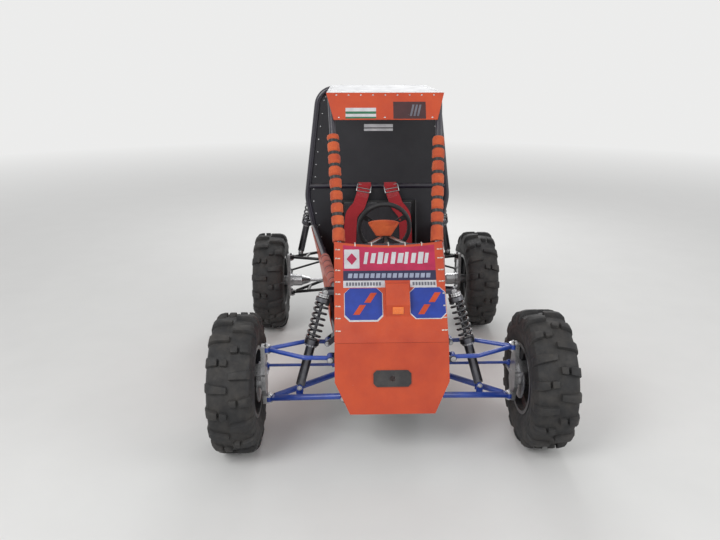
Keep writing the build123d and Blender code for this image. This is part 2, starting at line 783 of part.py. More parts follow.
for name, low, high, rail, rail_radius, arm_name in shock_table:
    damper, spring = shock(low, high)
    gap = shock_eye_width + 2 * pin_clearance
    foot_y = gap / 2 + ear_thickness / 2
    for side in (-1, 1):
        ear = disc(low + Y * (side * foot_y), Y, 15.0, ear_thickness)
        leg = Pos(low.X, low.Y + side * foot_y, low.Z - 18) * Box(30, ear_thickness, 36)
        arms[arm_name] = arms[arm_name] + ear + leg
    arms[arm_name] = biggest(arms[arm_name] - disc(low, Y, 15.0, gap))
    anchor = point_at_y(*rail, high.Y - front_axle)
    carrier = bracket(high, anchor, gap, rail_radius, tube_solids)
    put_pair("arm_brackets", coped(carrier, [sheet_room[0]]) if name == "front" else carrier)
    put_pair("dampers", damper)
    put_pair("coil_springs", spring)
for name, arm in arms.items():
    put_pair(name.split("_")[0] + "_arms", arm)


def toe_link():
    """The rear wheel's toe link, its eyes lying on the upright's arm and on an ear of the tail post."""
    eye_height = tie_rod_diameter + 2
    outer = Vector(toe_outer_x, rear_axle + 68, toe_height + (toe_arm_depth + eye_height) / 2)
    inner = at(tail_half + 36, tail_from_axle, toe_height + 62)
    link = rod(outer, inner, tie_rod_diameter / 2)
    ear_level = inner.Z - (eye_height + ear_thickness) / 2 - 2 * pin_clearance
    ear = Pos(tail_half + 22, inner.Y, ear_level) * Box(44, 24, ear_thickness)
    put_pair("arm_brackets", coped(ear, tube_solids))
    for eye in (outer, inner):
        link = link + disc(eye, Z, tie_eye_radius, eye_height)
    put_pair("rear_arms", link)


toe_link()


def joint_ball(middle, run, radius):
    """A ball of conical rings round the run through its middle, flat at both ends."""
    turns = [radians(15 * step) for step in range(1, 12)]
    rings = [(radius * sin(turn), -radius * cos(turn)) for turn in turns]
    outline = [(0, rings[0][1]), *rings, (0, rings[-1][1])]
    face = Plane(origin=middle, x_dir=X, z_dir=X.cross(run)) * make_face(Polyline(*outline, close=True))
    return revolve(face, axis=Axis(middle, run))


def steering():
    """Rack and housing, the wheel with its shaft, the jointed lower shaft, the dash panel, the tie rods."""
    end = at(rack_end_half, steering_arm, rack_height)
    bar = rod(other_side(end), end, rack_bar_diameter / 2)
    for sign in (-1, 1):
        bar = bar + rod(Vector(sign * (end.X - 12), end.Y, end.Z), Vector(sign * end.X, end.Y, end.Z), 15.0)
    half = at(rack_half, steering_arm, rack_height)
    housing = rod(other_side(half), half, rack_housing_radius)
    housing = housing + rod(rack_middle, shaft_foot, 19.0)
    for side in (-1, 1):
        foot_x = side * rack_foot_half
        along = (steering_arm - rack_housing_radius, steering_arm + rack_housing_radius)
        housing = housing + block((foot_x - 15, foot_x + 15), along, (pan_top, rack_height))
    housing = housing - rod(other_side(half) - X, half + X, rack_bar_diameter / 2 + pin_clearance)
    put("rack_bar", bar)
    put("steering_supports", housing)

    plane = Plane(origin=wheel_centre, x_dir=X, z_dir=wheel_run)
    ring_radius = (steering_wheel_diameter - steering_rim) / 2
    wheel = plane * Torus(ring_radius, steering_rim / 2)
    wheel = wheel + rod(wheel_centre - wheel_run * 14, wheel_centre + wheel_run * 6, wheel_hub_radius)
    spoke = Box(ring_radius, spoke_width, spoke_thickness)
    for hole_x in (-12, 12):
        spoke = spoke - Pos(hole_x, 0, 0) * Cylinder(spoke_width / 4, 10)
    for turn in (90, 210, 330):
        wheel = wheel + plane * Rot(0, 0, turn) * Pos(ring_radius / 2, 0, -spoke_thickness) * spoke
    wheel = wheel + rod(shaft_joint, wheel_centre, column_diameter / 2)
    wheel = wheel + joint_ball(shaft_joint, wheel_run, joint_ball_radius)
    put("steering_wheel", wheel)

    cup = rod(shaft_joint - shaft_run * 28, shaft_joint - shaft_run * 4, joint_cup_radius)
    shaft = rod(shaft_foot + shaft_run * face_clearance, shaft_joint - shaft_run * 26, column_diameter / 2)
    room = joint_ball(shaft_joint, shaft_run, joint_ball_radius + 2 * pin_clearance)
    put("steering_shaft", shaft + cup - room)

    bearing_at = wheel_centre - wheel_run * column_bearing_reach
    support = disc(bearing_at, wheel_run, bearing_radius, bearing_length)
    for side in (-1, 1):
        root = at(side * strut_root_half, dash_from_axle, dash_height)
        support = support + rod(root, bearing_at, strut_radius)
    support = support - rod(shaft_joint, wheel_centre, column_diameter / 2 + pin_clearance)
    support = coped(support, tube_solids)
    put("steering_supports", support)

    shift = dash_panel_shift
    corners = [
        at(shift + dash_panel_top_half, dash_panel_from_axle, dash_panel_corner_height),
        at(shift + dash_panel_low_half, dash_panel_from_axle, dash_panel_low_height),
        at(shift - dash_panel_low_half, dash_panel_from_axle, dash_panel_low_height),
        at(shift - dash_panel_top_half, dash_panel_from_axle, dash_panel_corner_height),
    ]
    crown = at(shift, dash_panel_from_axle, dash_panel_crown_height)
    edge = Wire([*Polyline(*corners).edges(), ThreePointArc(corners[-1], crown, corners[0]).edge()])
    panel = extrude(make_face(edge), amount=dash_panel_thickness, dir=(0, 1, 0))
    put("dash_panel", coped(panel, [support]))

    for name, sign in SIDES:
        outer = Vector(sign * tie_rod_outer.X, tie_rod_outer.Y, tie_rod_outer.Z)
        inner = Vector(sign * (rack_end_half + face_clearance), tie_rod_inner.Y, tie_rod_inner.Z)
        link = rod(inner, outer, tie_rod_diameter / 2) + disc(outer, Z, tie_eye_radius, tie_eye_height)
        link = link + rod(inner, inner + X * (sign * 26), 13.0) + rod(outer, outer + Z * 14, 6.0)
        put("tie_rod_" + name, link)


pan_top = floor_height - tube_r - sheet_gap
wheel_centre = at(0, steering_wheel_from_axle, steering_wheel_height)
rack_middle = at(0, steering_arm, rack_height)
wheel_run = Vector(0, cos(radians(steering_wheel_tilt)), sin(radians(steering_wheel_tilt)))
shaft_joint = wheel_centre - wheel_run * column_joint_reach
shaft_run = (shaft_joint - rack_middle).normalized()
shaft_foot = rack_middle + shaft_run * 60.0
steering()


def side_flanges(plane, flange_rows):
    """Flanges folded back along a panel's two sides, along the (low, high) stretches given."""
    flange_x = panel_half - panel_thickness / 2
    flange_z = sheet_low - flange_depth / 2
    flanges = []
    for low, high in flange_rows:
        strip = Box(panel_thickness, high - low, flange_depth)
        flanges += [plane * Pos(side * flange_x, (low + high) / 2, flange_z) * strip for side in (-1, 1)]
    return flanges


def folded_panel(plane, outline, flange_rows):
    """A sheet on a plane, with its side flanges."""
    face = make_face(Polyline(*outline, close=True))
    body = plane * Pos(0, 0, sheet_low) * extrude(face, amount=panel_thickness)
    return body + side_flanges(plane, flange_rows)


def bonnet_panel():
    top = bonnet_run.length + sill_overhang
    low = -mitre
    outline = Polyline((-panel_half, top), (-panel_half, low), (panel_half, low), (panel_half, top))
    dip = ThreePointArc((panel_half, top), (0, top - sill_dip), (-panel_half, top))
    face = make_face(Wire([*outline.edges(), dip.edge()]))
    body = bonnet_plane * Pos(0, 0, sheet_low) * extrude(face, amount=panel_thickness)
    body = body + side_flanges(bonnet_plane, [(8.0, 130.0), (300.0, bonnet_run.length - 20)])
    foot = sheet_low + panel_thickness - 0.5
    crown = foot + hatch_rise
    hatch = zip(hatch_steps, (foot, crown, crown, foot))
    side_face = make_face(Polyline(*[(0, v, h) for v, h in hatch], close=True))
    low_x, high_x = hatch_from_middle
    box = Pos(low_x, 0, 0) * extrude(side_face, amount=high_x - low_x, dir=(1, 0, 0))
    return coped(body + bonnet_plane * box, tube_solids)


def nose_panel():
    bottom = -nose_run.length - nose_overhang
    knee = -(crease_height - nose_knee_height) * nose_run.length / nose_run.Z
    foot_half = nose_foot_half + tube_r
    right_edge = [(-panel_half, mitre), (-panel_half, knee), (-foot_half, bottom)]
    outline = right_edge + [(-x, v) for x, v in reversed(right_edge)]
    notch = nose_spot(front_upper_height)
    body = folded_panel(nose_plane, outline, [(knee, notch - 34), (notch + 34, -8.0)])
    return biggest(body - tow_hole(3 * tube_r))


def nose_spot(height):
    """How far down the nose plane a height is."""
    return -(crease_height - height) * nose_run.length / nose_run.Z


def tow_hole(length):
    middle = (nose_spot(tow_high) + nose_spot(tow_low)) / 2
    return nose_plane * Pos(0, middle, sheet_low) * Cylinder(tow_hole_radius, length)


def tow_plate():
    high, low = nose_spot(tow_high), nose_spot(tow_low)
    corner = tow_corner
    inner = -tow_half + corner
    right_edge = [(inner, low), (-tow_half, low + corner), (-tow_half, high - corner), (inner, high)]
    outline = right_edge + [(-x, v) for x, v in reversed(right_edge)]
    face = make_face(Polyline(*outline, close=True))
    plate = nose_plane * Pos(0, 0, sheet_low + panel_thickness) * extrude(face, amount=tow_thickness)
    return biggest(plate - tow_hole(3 * tube_r))


def rear_hitch():
    """A plate with a towing hole, welded behind the lowest tail tube."""
    near_y = tail_low.Y - front_axle + brace_r
    heights = (hitch_hole_height - 24, tail_low_height + brace_r)
    plate = block((-hitch_half, hitch_half), (near_y, near_y + hitch_thickness), heights)
    hole = rod(at(0, near_y - 40, hitch_hole_height), at(0, near_y + 40, hitch_hole_height), tow_hole_radius)
    return plate - hole


def side_panel():
    """The left side panel, wrapped over three rails and ruled from behind the front arms back to the hoop."""
    sections = []
    for y in (knee_post_from_axle - 12, hoop_from_axle - tube_r - 2):
        corners = []
        for reach in (sheet_gap, sheet_gap + panel_thickness):
            slant = 1.2
            edge = [
                point_at_y(side_front, side_rear, y) + X * (tube_r * 1.04 + reach),
                point_at_y(susp_front, susp_rear, y) + X * (brace_r + slant + reach),
                point_at_y(nose_foot, rail_root, y) + X * (tube_r + reach),
            ]
            corners += edge if not corners else edge[::-1]
        sections.append(Wire.make_polygon(corners, close=True))
    return Solid.make_loft(sections, ruled=True)


def belly_pan():
    corners = [nose_foot - Y * 10, rail_root - Y * tube_r * 2]
    outline = [(p.X + tube_r, p.Y) for p in corners]
    outline += [(-x, y) for x, y in reversed(outline)]
    face = make_face(Polyline(*outline, close=True))
    return Pos(0, 0, pan_top) * extrude(face, amount=-panel_thickness)


def roof_panel():
    run = Vector(0, roof_front.Y - roof_rear.Y, roof_front.Z - roof_rear.Z)
    plane = Plane(origin=(0, roof_rear.Y, roof_rear.Z), x_dir=X, z_dir=run.cross(X))
    front_half = roof_front_half + roof_overhang
    rear_half = roof_rear_half + roof_overhang
    outline = [(-rear_half, 0), (rear_half, 0), (front_half, -run.length + 4), (-front_half, -run.length + 4)]
    face = make_face(Polyline(*outline, close=True))
    return plane * Pos(0, 0, sheet_low) * extrude(face, amount=panel_thickness)


def visor_panel():
    run = Vector(0, roof_front.Y - dash.Y, roof_front.Z - dash.Z)
    plane = Plane(origin=(0, roof_front.Y, roof_front.Z), x_dir=X, z_dir=X.cross(run))
    low = visor_top - visor_drop
    top_half = roof_front_half + roof_overhang + 2
    outline = [(-top_half, visor_top), (-visor_low_half, low), (visor_low_half, low), (top_half, visor_top)]
    face = make_face(Polyline(*outline, close=True))
    return plane * Pos(0, 0, sheet_low + 0.5) * extrude(face, amount=panel_thickness)


def firewall():
    """Two sheets in the hoop's own plane, below and above the shoulder bar."""
    corners = [hoop_foot + Z * tube_r, hoop_waist, hoop_top]
    ring = corners + [other_side(p) for p in reversed(corners)]
    face = make_face(Polyline(*[p - Y * (panel_thickness / 2) for p in ring], close=True))
    sheet = extrude(face, amount=panel_thickness, dir=(0, 1, 0))
    for solid in tube_solids:
        if near(sheet, solid):
            sheet = sheet - solid
    return sorted(sheet.solids(), key=lambda s: -s.volume)[:2]


put("front_panels", bonnet_panel(), nose_panel())
put("tow_plates", tow_plate(), rear_hitch())
put_pair("side_panels", side_panel())
put("belly_pan", belly_pan())
put("roof_panel", roof_panel())
put("visor_panel", visor_panel())
put("firewall", *firewall())

pad_low = point_at_z(dash, roof_front, pillar_pad_low)
pad_high = point_at_z(dash, roof_front, pillar_pad_high)
pad = pipe(pad_low, pad_high, pillar_pad_diameter / 2, tube_r + pin_clearance)
bonnet_reach = bonnet_run.length + sill_overhang + face_clearance
bonnet_room = bonnet_plane * Pos(0, bonnet_reach / 2, tube_r + 50) * Box(4 * panel_half, bonnet_reach, 100)
put_pair("pillar_pads", biggest(pad - bonnet_room))

# The seat's outer line from the side, front lip to the top of the back, as (y from the front axle, z)
seat_floor = floor_height + brace_r + sheet_gap
seat_line = [
    (640, 330), (700, seat_floor + 14), (760, seat_floor), (950, seat_floor), (1025, 315), (1055, 372.5),
    (1085, 430), (1142, 925),
]
seat_edge = [(1100, 935), (1030, 690), (965, 480), (900, 400), (760, 385), (645, 350)]


def seat():
    inner_line = offset_line(seat_line, seat_wall)
    band = side_profile(seat_line + inner_line[::-1], -seat_half, seat_half)
    shell = band
    for low_x in (-seat_half, seat_half - seat_wall):
        shell = shell + side_profile(seat_line + seat_edge, low_x, low_x + seat_wall)
    put("seat_shell", biggest(shell))

    start = seat_wall + pin_clearance
    low_line = offset_line(seat_line, start)
    high_line = offset_line(seat_line, start + seat_pad_thickness)
    for first, last in ((1, 4), (5, 8)):
        pad = low_line[first:last] + high_line[first:last][::-1]
        put("seat_pads", side_profile(pad, -seat_pad_half, seat_pad_half))


seat()


def ribbon(places, width):
    """A flat strap along (point, direction across, outward direction) places, made as a ruled loft."""
    sections = []
    for spot, across, out in places:
        a, b = spot - across * (width / 2), spot + across * (width / 2)
        up = out * belt_thickness
        sections.append(Wire.make_polygon([a, b, b + up, a + up], close=True))
    return Solid.make_loft(sections, ruled=True)


# Columns: height of the strap's middle on the seat back, and how far out it lies
shoulder_strap = [(902, 116), (872, 142), (830, 160), (700, 168), (470, 168)]


def harness():
    """Two shoulder straps looped on the shoulder bar, and two lap straps with the buckle."""
    lift = seat_wall + seat_pad_thickness + 2 * pin_clearance
    (low_y, low_z), (high_y, high_z) = offset_line(seat_line, lift)[-2:]
    low, high = at(0, low_y, low_z), at(0, high_y, high_z)
    down = (low - high).normalized()
    out = down.cross(X)
    wrap_radius = cross_r + pin_clearance
    bar_front = Vector(0, shoulder.Y - wrap_radius, shoulder.Z)
    fall = (high - bar_front).normalized()
    fall_out = fall.cross(X)

    middles = [X * strap_at_bar + bar_front, X * strap_at_seat_top + high]
    middles += [X * x + point_at_z(high, low, z) for z, x in shoulder_strap]
    places = [(middles[0], X, fall_out), (middles[1], X, (out + fall_out).normalized())]
    for before, spot, after in zip(middles[1:], middles[2:], middles[3:] + [middles[-1] + down * 50]):
        along = ((spot - before).normalized() + (after - spot).normalized()).normalized()
        places.append((spot, out.cross(along), out))
    strap = ribbon(places, shoulder_belt_width)
    on_bar = Vector(strap_at_bar, shoulder.Y, shoulder.Z)
    reach = X * (shoulder_belt_width / 2)
    wrap = pipe(on_bar - reach, on_bar + reach, wrap_radius + belt_thickness, wrap_radius)
    behind = Pos(on_bar + Y * 47) * Box(200, 100, 100)
    put_pair("harness", biggest(strap + (wrap - behind)))

    cushion = seat_floor + lift
    hip = at(seat_pad_half - 6, lap_belt_from_axle, cushion)
    clasp = at(buckle_size[0] / 2 - 12, buckle_from_axle, cushion)
    across = Z.cross((clasp - hip).normalized())
    lap = ribbon([(hip, across, Z), (clasp, across, Z)], lap_belt_width)
    buckle = Pos(0, clasp.Y, cushion + buckle_size[2] / 2) * Box(*buckle_size)
    put("harness", lap + mirrored(lap) + buckle)


harness()


def engine():
    """Single-cylinder engine on its plate, with blower, belt drive, gearbox, tank and exhaust."""
    plate_top = engine_plate_height + engine_plate_thickness
    crank_z = plate_top + crank_above_plate
    crank_y = crank_from_axle
    low, high = engine_tubes_from_axle
    across = (-engine_plate_half, engine_plate_half)
    plate = block(across, (low - 20, high + 20), (engine_plate_height, plate_top))
    leg_low = floor_height + brace_r - 12
    for y in engine_tubes_from_axle:
        for x in (20 - engine_plate_half, engine_plate_half - 20):
            plate = plate + block((x - 15, x + 15), (y - 12, y + 12), (leg_low, engine_plate_height))
    put("engine_mount", coped(plate, tube_solids))

    case_depth = (crank_y - crankcase_half_depth, crank_y + crankcase_half_depth)
    case = block((-crankcase_right, crankcase_left), case_depth, (plate_top + pin_clearance, crank_z + 70))
    case = chamfer(case.edges().filter_by(Axis.X), 16.0)
    turn = radians(cylinder_lean)
    lean = Plane(origin=at(0, crank_y, crank_z), x_dir=X, z_dir=(0, cos(turn), sin(turn)))
    barrel = lean * Pos(0, 0, 125) * Box(cylinder_core, cylinder_core, 100)
    fin = Box(cylinder_fin, cylinder_fin, fin_thickness)
    for step in range(cylinder_fins):
        barrel = barrel + lean * Pos(0, 0, first_fin + step * fin_pitch) * fin
    head_low = first_fin + cylinder_fins * fin_pitch
    head = lean * Pos(0, 0, head_low) * Box(head_width, head_width, 16)
    for step in range(head_fins):
        fin_x = (step - (head_fins - 1) / 2) * 20
        head = head + lean * Pos(fin_x, 0, head_low + 24) * Box(fin_thickness, head_width - 8, 36)
    plug_foot = lean.origin + lean.z_dir * (head_low + 4)
    plug = rod(plug_foot, plug_foot + lean.z_dir * 62, 8.0)
    intake = lean * Pos(-20, -72, filter_level) * Box(44, 34, 40)
    filter_middle = lean.origin - lean.y_dir * filter_reach + lean.z_dir * filter_level
    filter_can = rod(filter_middle - X * 78, filter_middle + X * 38, filter_radius)
    for x in (-60, -40, 0, 20):
        band = disc(filter_middle + X * x, X, filter_radius + 2, 6.0)
        filter_can = filter_can + band
    shaft = rod(at(-gearbox_half + 1, crank_y, crank_z), at(-80, crank_y, crank_z), 14.0)
    put("engine_block", case + barrel + head + plug + shaft + intake + filter_can)

    blower_x = crankcase_left + pin_clearance
    recoil_x = blower_x + blower_width
    face_x = recoil_x + recoil_width
    blower = rod(at(blower_x, crank_y, crank_z), at(recoil_x, crank_y, crank_z), blower_radius)
    blower = blower + block((blower_x, recoil_x), (crank_y, crank_y + blower_radius), (crank_z, crank_z + 96))
    recoil = rod(at(recoil_x, crank_y, crank_z), at(face_x, crank_y, crank_z), recoil_radius)
    recoil = recoil + rod(at(face_x, crank_y, crank_z), at(face_x + 6, crank_y, crank_z), 24.0)
    handle = block((recoil_x, face_x - 8), (crank_y - 10, crank_y + 10), (crank_z + 60, crank_z + 92))
    recoil = recoil + handle
    for step in range(grille_slots):
        slot = Pos(face_x, 0, 50) * Box(16, 7, 36)
        recoil = recoil - Pos(at(0, crank_y, crank_z)) * Rot(360 * (step + 0.5) / grille_slots, 0, 0) * slot
    put("blower_housing", blower + recoil)

    drive_y = crank_y + drive_centres
    outer_x, inner_x = -gearbox_half - drive_cover_width, -gearbox_half - pin_clearance

    def belt_outline(low_x, high_x, radius):
        shape = block((low_x, high_x), (crank_y, drive_y), (crank_z - radius, crank_z + radius))
        for y in (crank_y, drive_y):
            shape = shape + rod(at(low_x, y, crank_z), at(high_x, y, crank_z), radius)
        return shape

    cover = belt_outline(outer_x, inner_x, drive_pulley_room - 8)
    cover = cover + belt_outline(inner_x - 8, inner_x, drive_pulley_room)
    for y in (crank_y, drive_y):
        cover = cover - rod(at(outer_x - 1, y, crank_z), at(outer_x + 5, y, crank_z), 70.0)
        cover = cover + rod(at(outer_x, y, crank_z), at(outer_x + 6, y, crank_z), 28.0)
    put("drive_cover", cover)

    axle_z = wheel_radius
    back = drive_y + 62
    foot_z = point_at_y(rail_root, tail_low, gearbox_tube_from_axle).Z + brace_r + sheet_gap

    def gearbox_profile(grow):
        under, over = axle_z - 66 - grow, crank_z + 62 + grow
        return [
            (wheelbase - 62 - grow, axle_z - 40), (wheelbase - 20, under), (wheelbase + 42, under),
            (gearbox_tube_from_axle - 28, foot_z), (back + grow, foot_z), (back + grow, crank_z + 40),
            (drive_y + 30, over), (drive_y - 40, over), (wheelbase - 62 - grow, axle_z + 70),
        ]

    box = side_profile(gearbox_profile(0), -gearbox_body_half, gearbox_body_half)
    for rib_x in (-42, 0, 42):
        box = box + side_profile(gearbox_profile(6), rib_x - 4, rib_x + 4)
    box = box + rod(at(-gearbox_half, wheelbase, axle_z), at(gearbox_half, wheelbase, axle_z), 46.0)
    box = box + rod(at(-gearbox_half, drive_y, crank_z), at(0, drive_y, crank_z), 40.0)
    put("gearbox", box)

    width, depth, height = fuel_tank_size
    front = hoop_from_axle + panel_thickness / 2 + pin_clearance
    tank = block((-width / 2, width / 2), (front, front + depth), (fuel_tank_low, fuel_tank_low + height))
    tank = fillet(tank.edges().filter_by(Axis.Z), 24.0)
    cap_y, cap_z = front + depth / 2, fuel_tank_low + height
    put("fuel_tank", tank + rod(at(60, cap_y, cap_z - 5), at(60, cap_y, cap_z + 15), 30.0))

    can_y, can_z = drive_y + 60, crank_z + 175
    can = rod(at(-muffler_half, can_y, can_z), at(muffler_half, can_y, can_z), muffler_radius - 2)
    for x in (-muffler_half, muffler_half - 8):
        can = can + rod(at(x, can_y, can_z), at(x + 8, can_y, can_z), muffler_radius)
    tail = rod(at(muffler_half, can_y, can_z), at(muffler_half + 40, can_y, can_z), exhaust_radius)
    port = lean.origin + lean.z_dir * (head_low + 4) + lean.y_dir * (head_width / 2)
    pipe_run = bent([port, port + lean.y_dir * 30, at(0, can_y, can_z)], exhaust_radius, [24.0])
    put("muffler", can + tail + pipe_run)


engine()


def pedals():
    """Brake and throttle pedals, each hung from a foot that stands on the floor sheet."""
    for x in (-pedal_offset, pedal_offset):
        top = at(x, pedal_top_from_axle, pan_top + pedal_height)
        foot = block((x - 18, x + 18), (-20, 30), (pan_top + sheet_gap, pan_top + 26))
        lever = rod(at(x, 5, pan_top + 20), top, 7.0)
        tread = Plane(origin=top, x_dir=X, z_dir=(0, 1, 0.26)) * Box(*pedal_size)
        put("pedals", foot + lever + tread)


pedals()

for name, solids in nodes.items():
    shape = Compound(children=solids) if len(solids) > 1 else solids[0]
    export_step(shape, "parts/" + name + ".step")
    print(name, len(solids))
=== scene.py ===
import bpy
import math
from mathutils import Matrix, Vector
from mathutils.bvhtree import BVHTree


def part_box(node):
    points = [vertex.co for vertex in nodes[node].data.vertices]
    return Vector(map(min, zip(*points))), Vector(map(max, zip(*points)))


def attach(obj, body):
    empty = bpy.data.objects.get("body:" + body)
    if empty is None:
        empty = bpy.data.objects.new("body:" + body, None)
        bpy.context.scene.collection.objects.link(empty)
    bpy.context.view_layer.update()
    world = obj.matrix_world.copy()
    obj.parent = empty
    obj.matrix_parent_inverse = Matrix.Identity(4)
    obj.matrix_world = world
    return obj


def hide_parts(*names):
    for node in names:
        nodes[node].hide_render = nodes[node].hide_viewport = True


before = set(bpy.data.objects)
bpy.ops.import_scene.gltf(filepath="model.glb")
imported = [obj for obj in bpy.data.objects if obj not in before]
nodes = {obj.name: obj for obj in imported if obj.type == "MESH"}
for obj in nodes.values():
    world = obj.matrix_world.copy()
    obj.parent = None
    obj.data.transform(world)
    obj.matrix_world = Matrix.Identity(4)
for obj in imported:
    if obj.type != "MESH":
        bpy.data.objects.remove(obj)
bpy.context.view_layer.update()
print("frame loaded with", len(nodes), "nodes")


# small hand tools

def deselectAll():
    for obj in bpy.context.selected_objects:
        obj.select_set(False)


def activate(obj):
    deselectAll()
    obj.select_set(True)
    bpy.context.view_layer.objects.active = obj


def freeze(obj):
    activate(obj)
    bpy.ops.object.transform_apply(location=True, rotation=True, scale=True)


def editAll(obj):
    # opens edit mode with everything selected
    activate(obj)
    bpy.ops.object.mode_set(mode="EDIT")
    bpy.ops.mesh.select_all(action="SELECT")


def applyAll(obj):
    activate(obj)
    for modifier in list(obj.modifiers):
        bpy.ops.object.modifier_apply(modifier=modifier.name)


def place(obj, matrix):
    # moves the mesh itself, so that the object stays at the origin
    if obj.matrix_basis != Matrix.Identity(4):
        freeze(obj)
    obj.data.transform(matrix)
    if matrix.determinant() < 0:
        obj.data.flip_normals()
    obj.data.update()
    return obj


def copyOf(obj, matrix=Matrix.Identity(4)):
    twin = obj.copy()
    twin.data = obj.data.copy()
    bpy.context.scene.collection.objects.link(twin)
    return place(twin, matrix)


def joined(parts, name):
    deselectAll()
    for part in parts:
        part.select_set(True)
    bpy.context.view_layer.objects.active = parts[0]
    if len(parts) > 1:
        bpy.ops.object.join()
    parts[0].name = name
    return parts[0]


def smooth(obj, degrees=35):
    activate(obj)
    bpy.ops.object.shade_smooth_by_angle(angle=math.radians(degrees))
    return obj


def finished(obj, name, body, material, degrees=35, replaces=()):
    obj.name = name
    obj.data.materials.clear()
    obj.data.materials.append(material)
    smooth(obj, degrees)
    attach(obj, body)
    if replaces:
        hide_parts(*replaces)
    return obj


def pick(obj, test):
    # selects faces by their middle and normal, and leaves edit mode open
    activate(obj)
    bpy.ops.object.mode_set(mode="EDIT")
    bpy.ops.mesh.select_mode(type="FACE")
    bpy.ops.mesh.select_all(action="DESELECT")
    bpy.ops.object.mode_set(mode="OBJECT")
    for face in obj.data.polygons:
        face.select = test(face.center, face.normal)
    bpy.ops.object.mode_set(mode="EDIT")


def done():
    bpy.ops.object.mode_set(mode="OBJECT")


def bevelAll(obj, width, segments=2, angle=30):
    modifier = obj.modifiers.new("edges", "BEVEL")
    modifier.width = width
    modifier.segments = segments
    modifier.limit_method = "ANGLE"
    modifier.angle_limit = math.radians(angle)
    applyAll(obj)
    return obj


def walled(obj, thickness):
    # gives a sheet its thickness, outwards
    wall = obj.modifiers.new("wall", "SOLIDIFY")
    wall.thickness = thickness
    wall.offset = 1.0
    applyAll(obj)
    return obj


def brick(size, middle=(0, 0, 0), edge=0.0, segments=2):
    bpy.ops.mesh.primitive_cube_add(size=1, location=middle)
    obj = bpy.context.object
    obj.scale = size
    freeze(obj)
    return bevelAll(obj, edge, segments) if edge else obj


def flatPlate(corners, thickness, corner=0.0):
    # a flat outline of (x, y) corners, its corners rounded, then extruded upwards
    bpy.ops.mesh.primitive_circle_add(vertices=len(corners), radius=1, fill_type="NGON")
    obj = bpy.context.object
    for vertex, (x, y) in zip(obj.data.vertices, corners):
        vertex.co = (x, y, 0)
    editAll(obj)
    if corner:
        bpy.ops.mesh.bevel(offset=corner, segments=4, affect="VERTICES")
        bpy.ops.mesh.select_all(action="SELECT")
    bpy.ops.mesh.extrude_region_move(TRANSFORM_OT_translate={"value": (0, 0, thickness)})
    bpy.ops.mesh.select_all(action="SELECT")
    bpy.ops.mesh.normals_make_consistent(inside=False)
    done()
    return obj


def aimed(spot, direction, size=1.0, axis="Z", up="Y"):
    # turns +Z, or another axis, into the direction, at the spot
    turn = Vector(direction).to_track_quat(axis, up).to_matrix().to_4x4()
    return Matrix.Translation(spot) @ turn @ Matrix.Scale(size, 4)


def mirrored(sign):
    # with -1, what is made for the left side goes to the right side
    return Matrix.Diagonal((sign, 1, 1, 1))


def roundBar(start, end, radius, sides=24, edge=0.0):
    start, end = Vector(start), Vector(end)
    run = end - start
    bpy.ops.mesh.primitive_cylinder_add(vertices=sides, radius=radius, depth=run.length)
    obj = place(bpy.context.object, aimed((start + end) / 2, run))
    return bevelAll(obj, edge) if edge else obj


def spunAboutX(outline, steps):
    # an open outline of (x, radius) points, drawn as a chain of edges and spun about the X axis
    bpy.ops.mesh.primitive_plane_add(size=0.01)
    obj = bpy.context.object
    editAll(obj)
    bpy.ops.mesh.select_mode(type="VERT")
    bpy.ops.mesh.merge(type="CENTER")
    x, r = outline[0]
    bpy.ops.transform.translate(value=(x, 0, r))
    for (fromX, fromR), (toX, toR) in zip(outline, outline[1:]):
        bpy.ops.mesh.extrude_region_move(TRANSFORM_OT_translate={"value": (toX - fromX, 0, toR - fromR)})
    bpy.ops.mesh.select_all(action="SELECT")
    bpy.ops.mesh.spin(steps=steps, angle=math.tau, center=(0, 0, 0), axis=(1, 0, 0))
    bpy.ops.mesh.select_all(action="SELECT")
    bpy.ops.mesh.remove_doubles(threshold=0.00005)
    bpy.ops.mesh.normals_make_consistent(inside=False)
    done()
    return obj


def bandAboutX(low, high, inner, outer, steps):
    # a plain ring from low to high along X
    return spunAboutX([(low, inner), (low, outer), (high, outer), (high, inner), (low, inner)], steps)


def knurled(obj, notches, depth):
    # presses two of each four corners inwards, round the Z axis
    for vertex in obj.data.vertices:
        step = round((math.atan2(vertex.co.y, vertex.co.x) % math.tau) / math.tau * notches * 4)
        if step % 4 in (0, 1):
            vertex.co.x *= 1 - depth
            vertex.co.y *= 1 - depth


def treeOf(obj):
    # the mesh, ready for rays
    corners = [vertex.co.copy() for vertex in obj.data.vertices]
    return BVHTree.FromPolygons(corners, [list(face.vertices) for face in obj.data.polygons])


# materials: each one has colour variation, roughness variation and fine relief

def startMaterial(name):
    material = bpy.data.materials.new(name)
    material.use_nodes = True
    tree = material.node_tree
    shader = tree.nodes["Principled BSDF"]
    coords = tree.nodes.new("ShaderNodeTexCoord")
    return material, tree, shader, coords.outputs["Object"]


def noise(tree, vector, scale, detail=5.0, roughness=0.6, stretch=None):
    if stretch:
        mapping = tree.nodes.new("ShaderNodeMapping")
        mapping.inputs["Scale"].default_value = stretch
        tree.links.new(vector, mapping.inputs["Vector"])
        vector = mapping.outputs["Vector"]
    node = tree.nodes.new("ShaderNodeTexNoise")
    node.inputs["Scale"].default_value = scale
    node.inputs["Detail"].default_value = detail
    node.inputs["Roughness"].default_value = roughness
    tree.links.new(vector, node.inputs["Vector"])
    return node.outputs["Fac"]


def ranged(tree, value, low, high, outLow=0.0, outHigh=1.0):
    node = tree.nodes.new("ShaderNodeMapRange")
    node.inputs["From Min"].default_value = low
    node.inputs["From Max"].default_value = high
    node.inputs["To Min"].default_value = outLow
    node.inputs["To Max"].default_value = outHigh
    tree.links.new(value, node.inputs["Value"])
    return node.outputs["Result"]


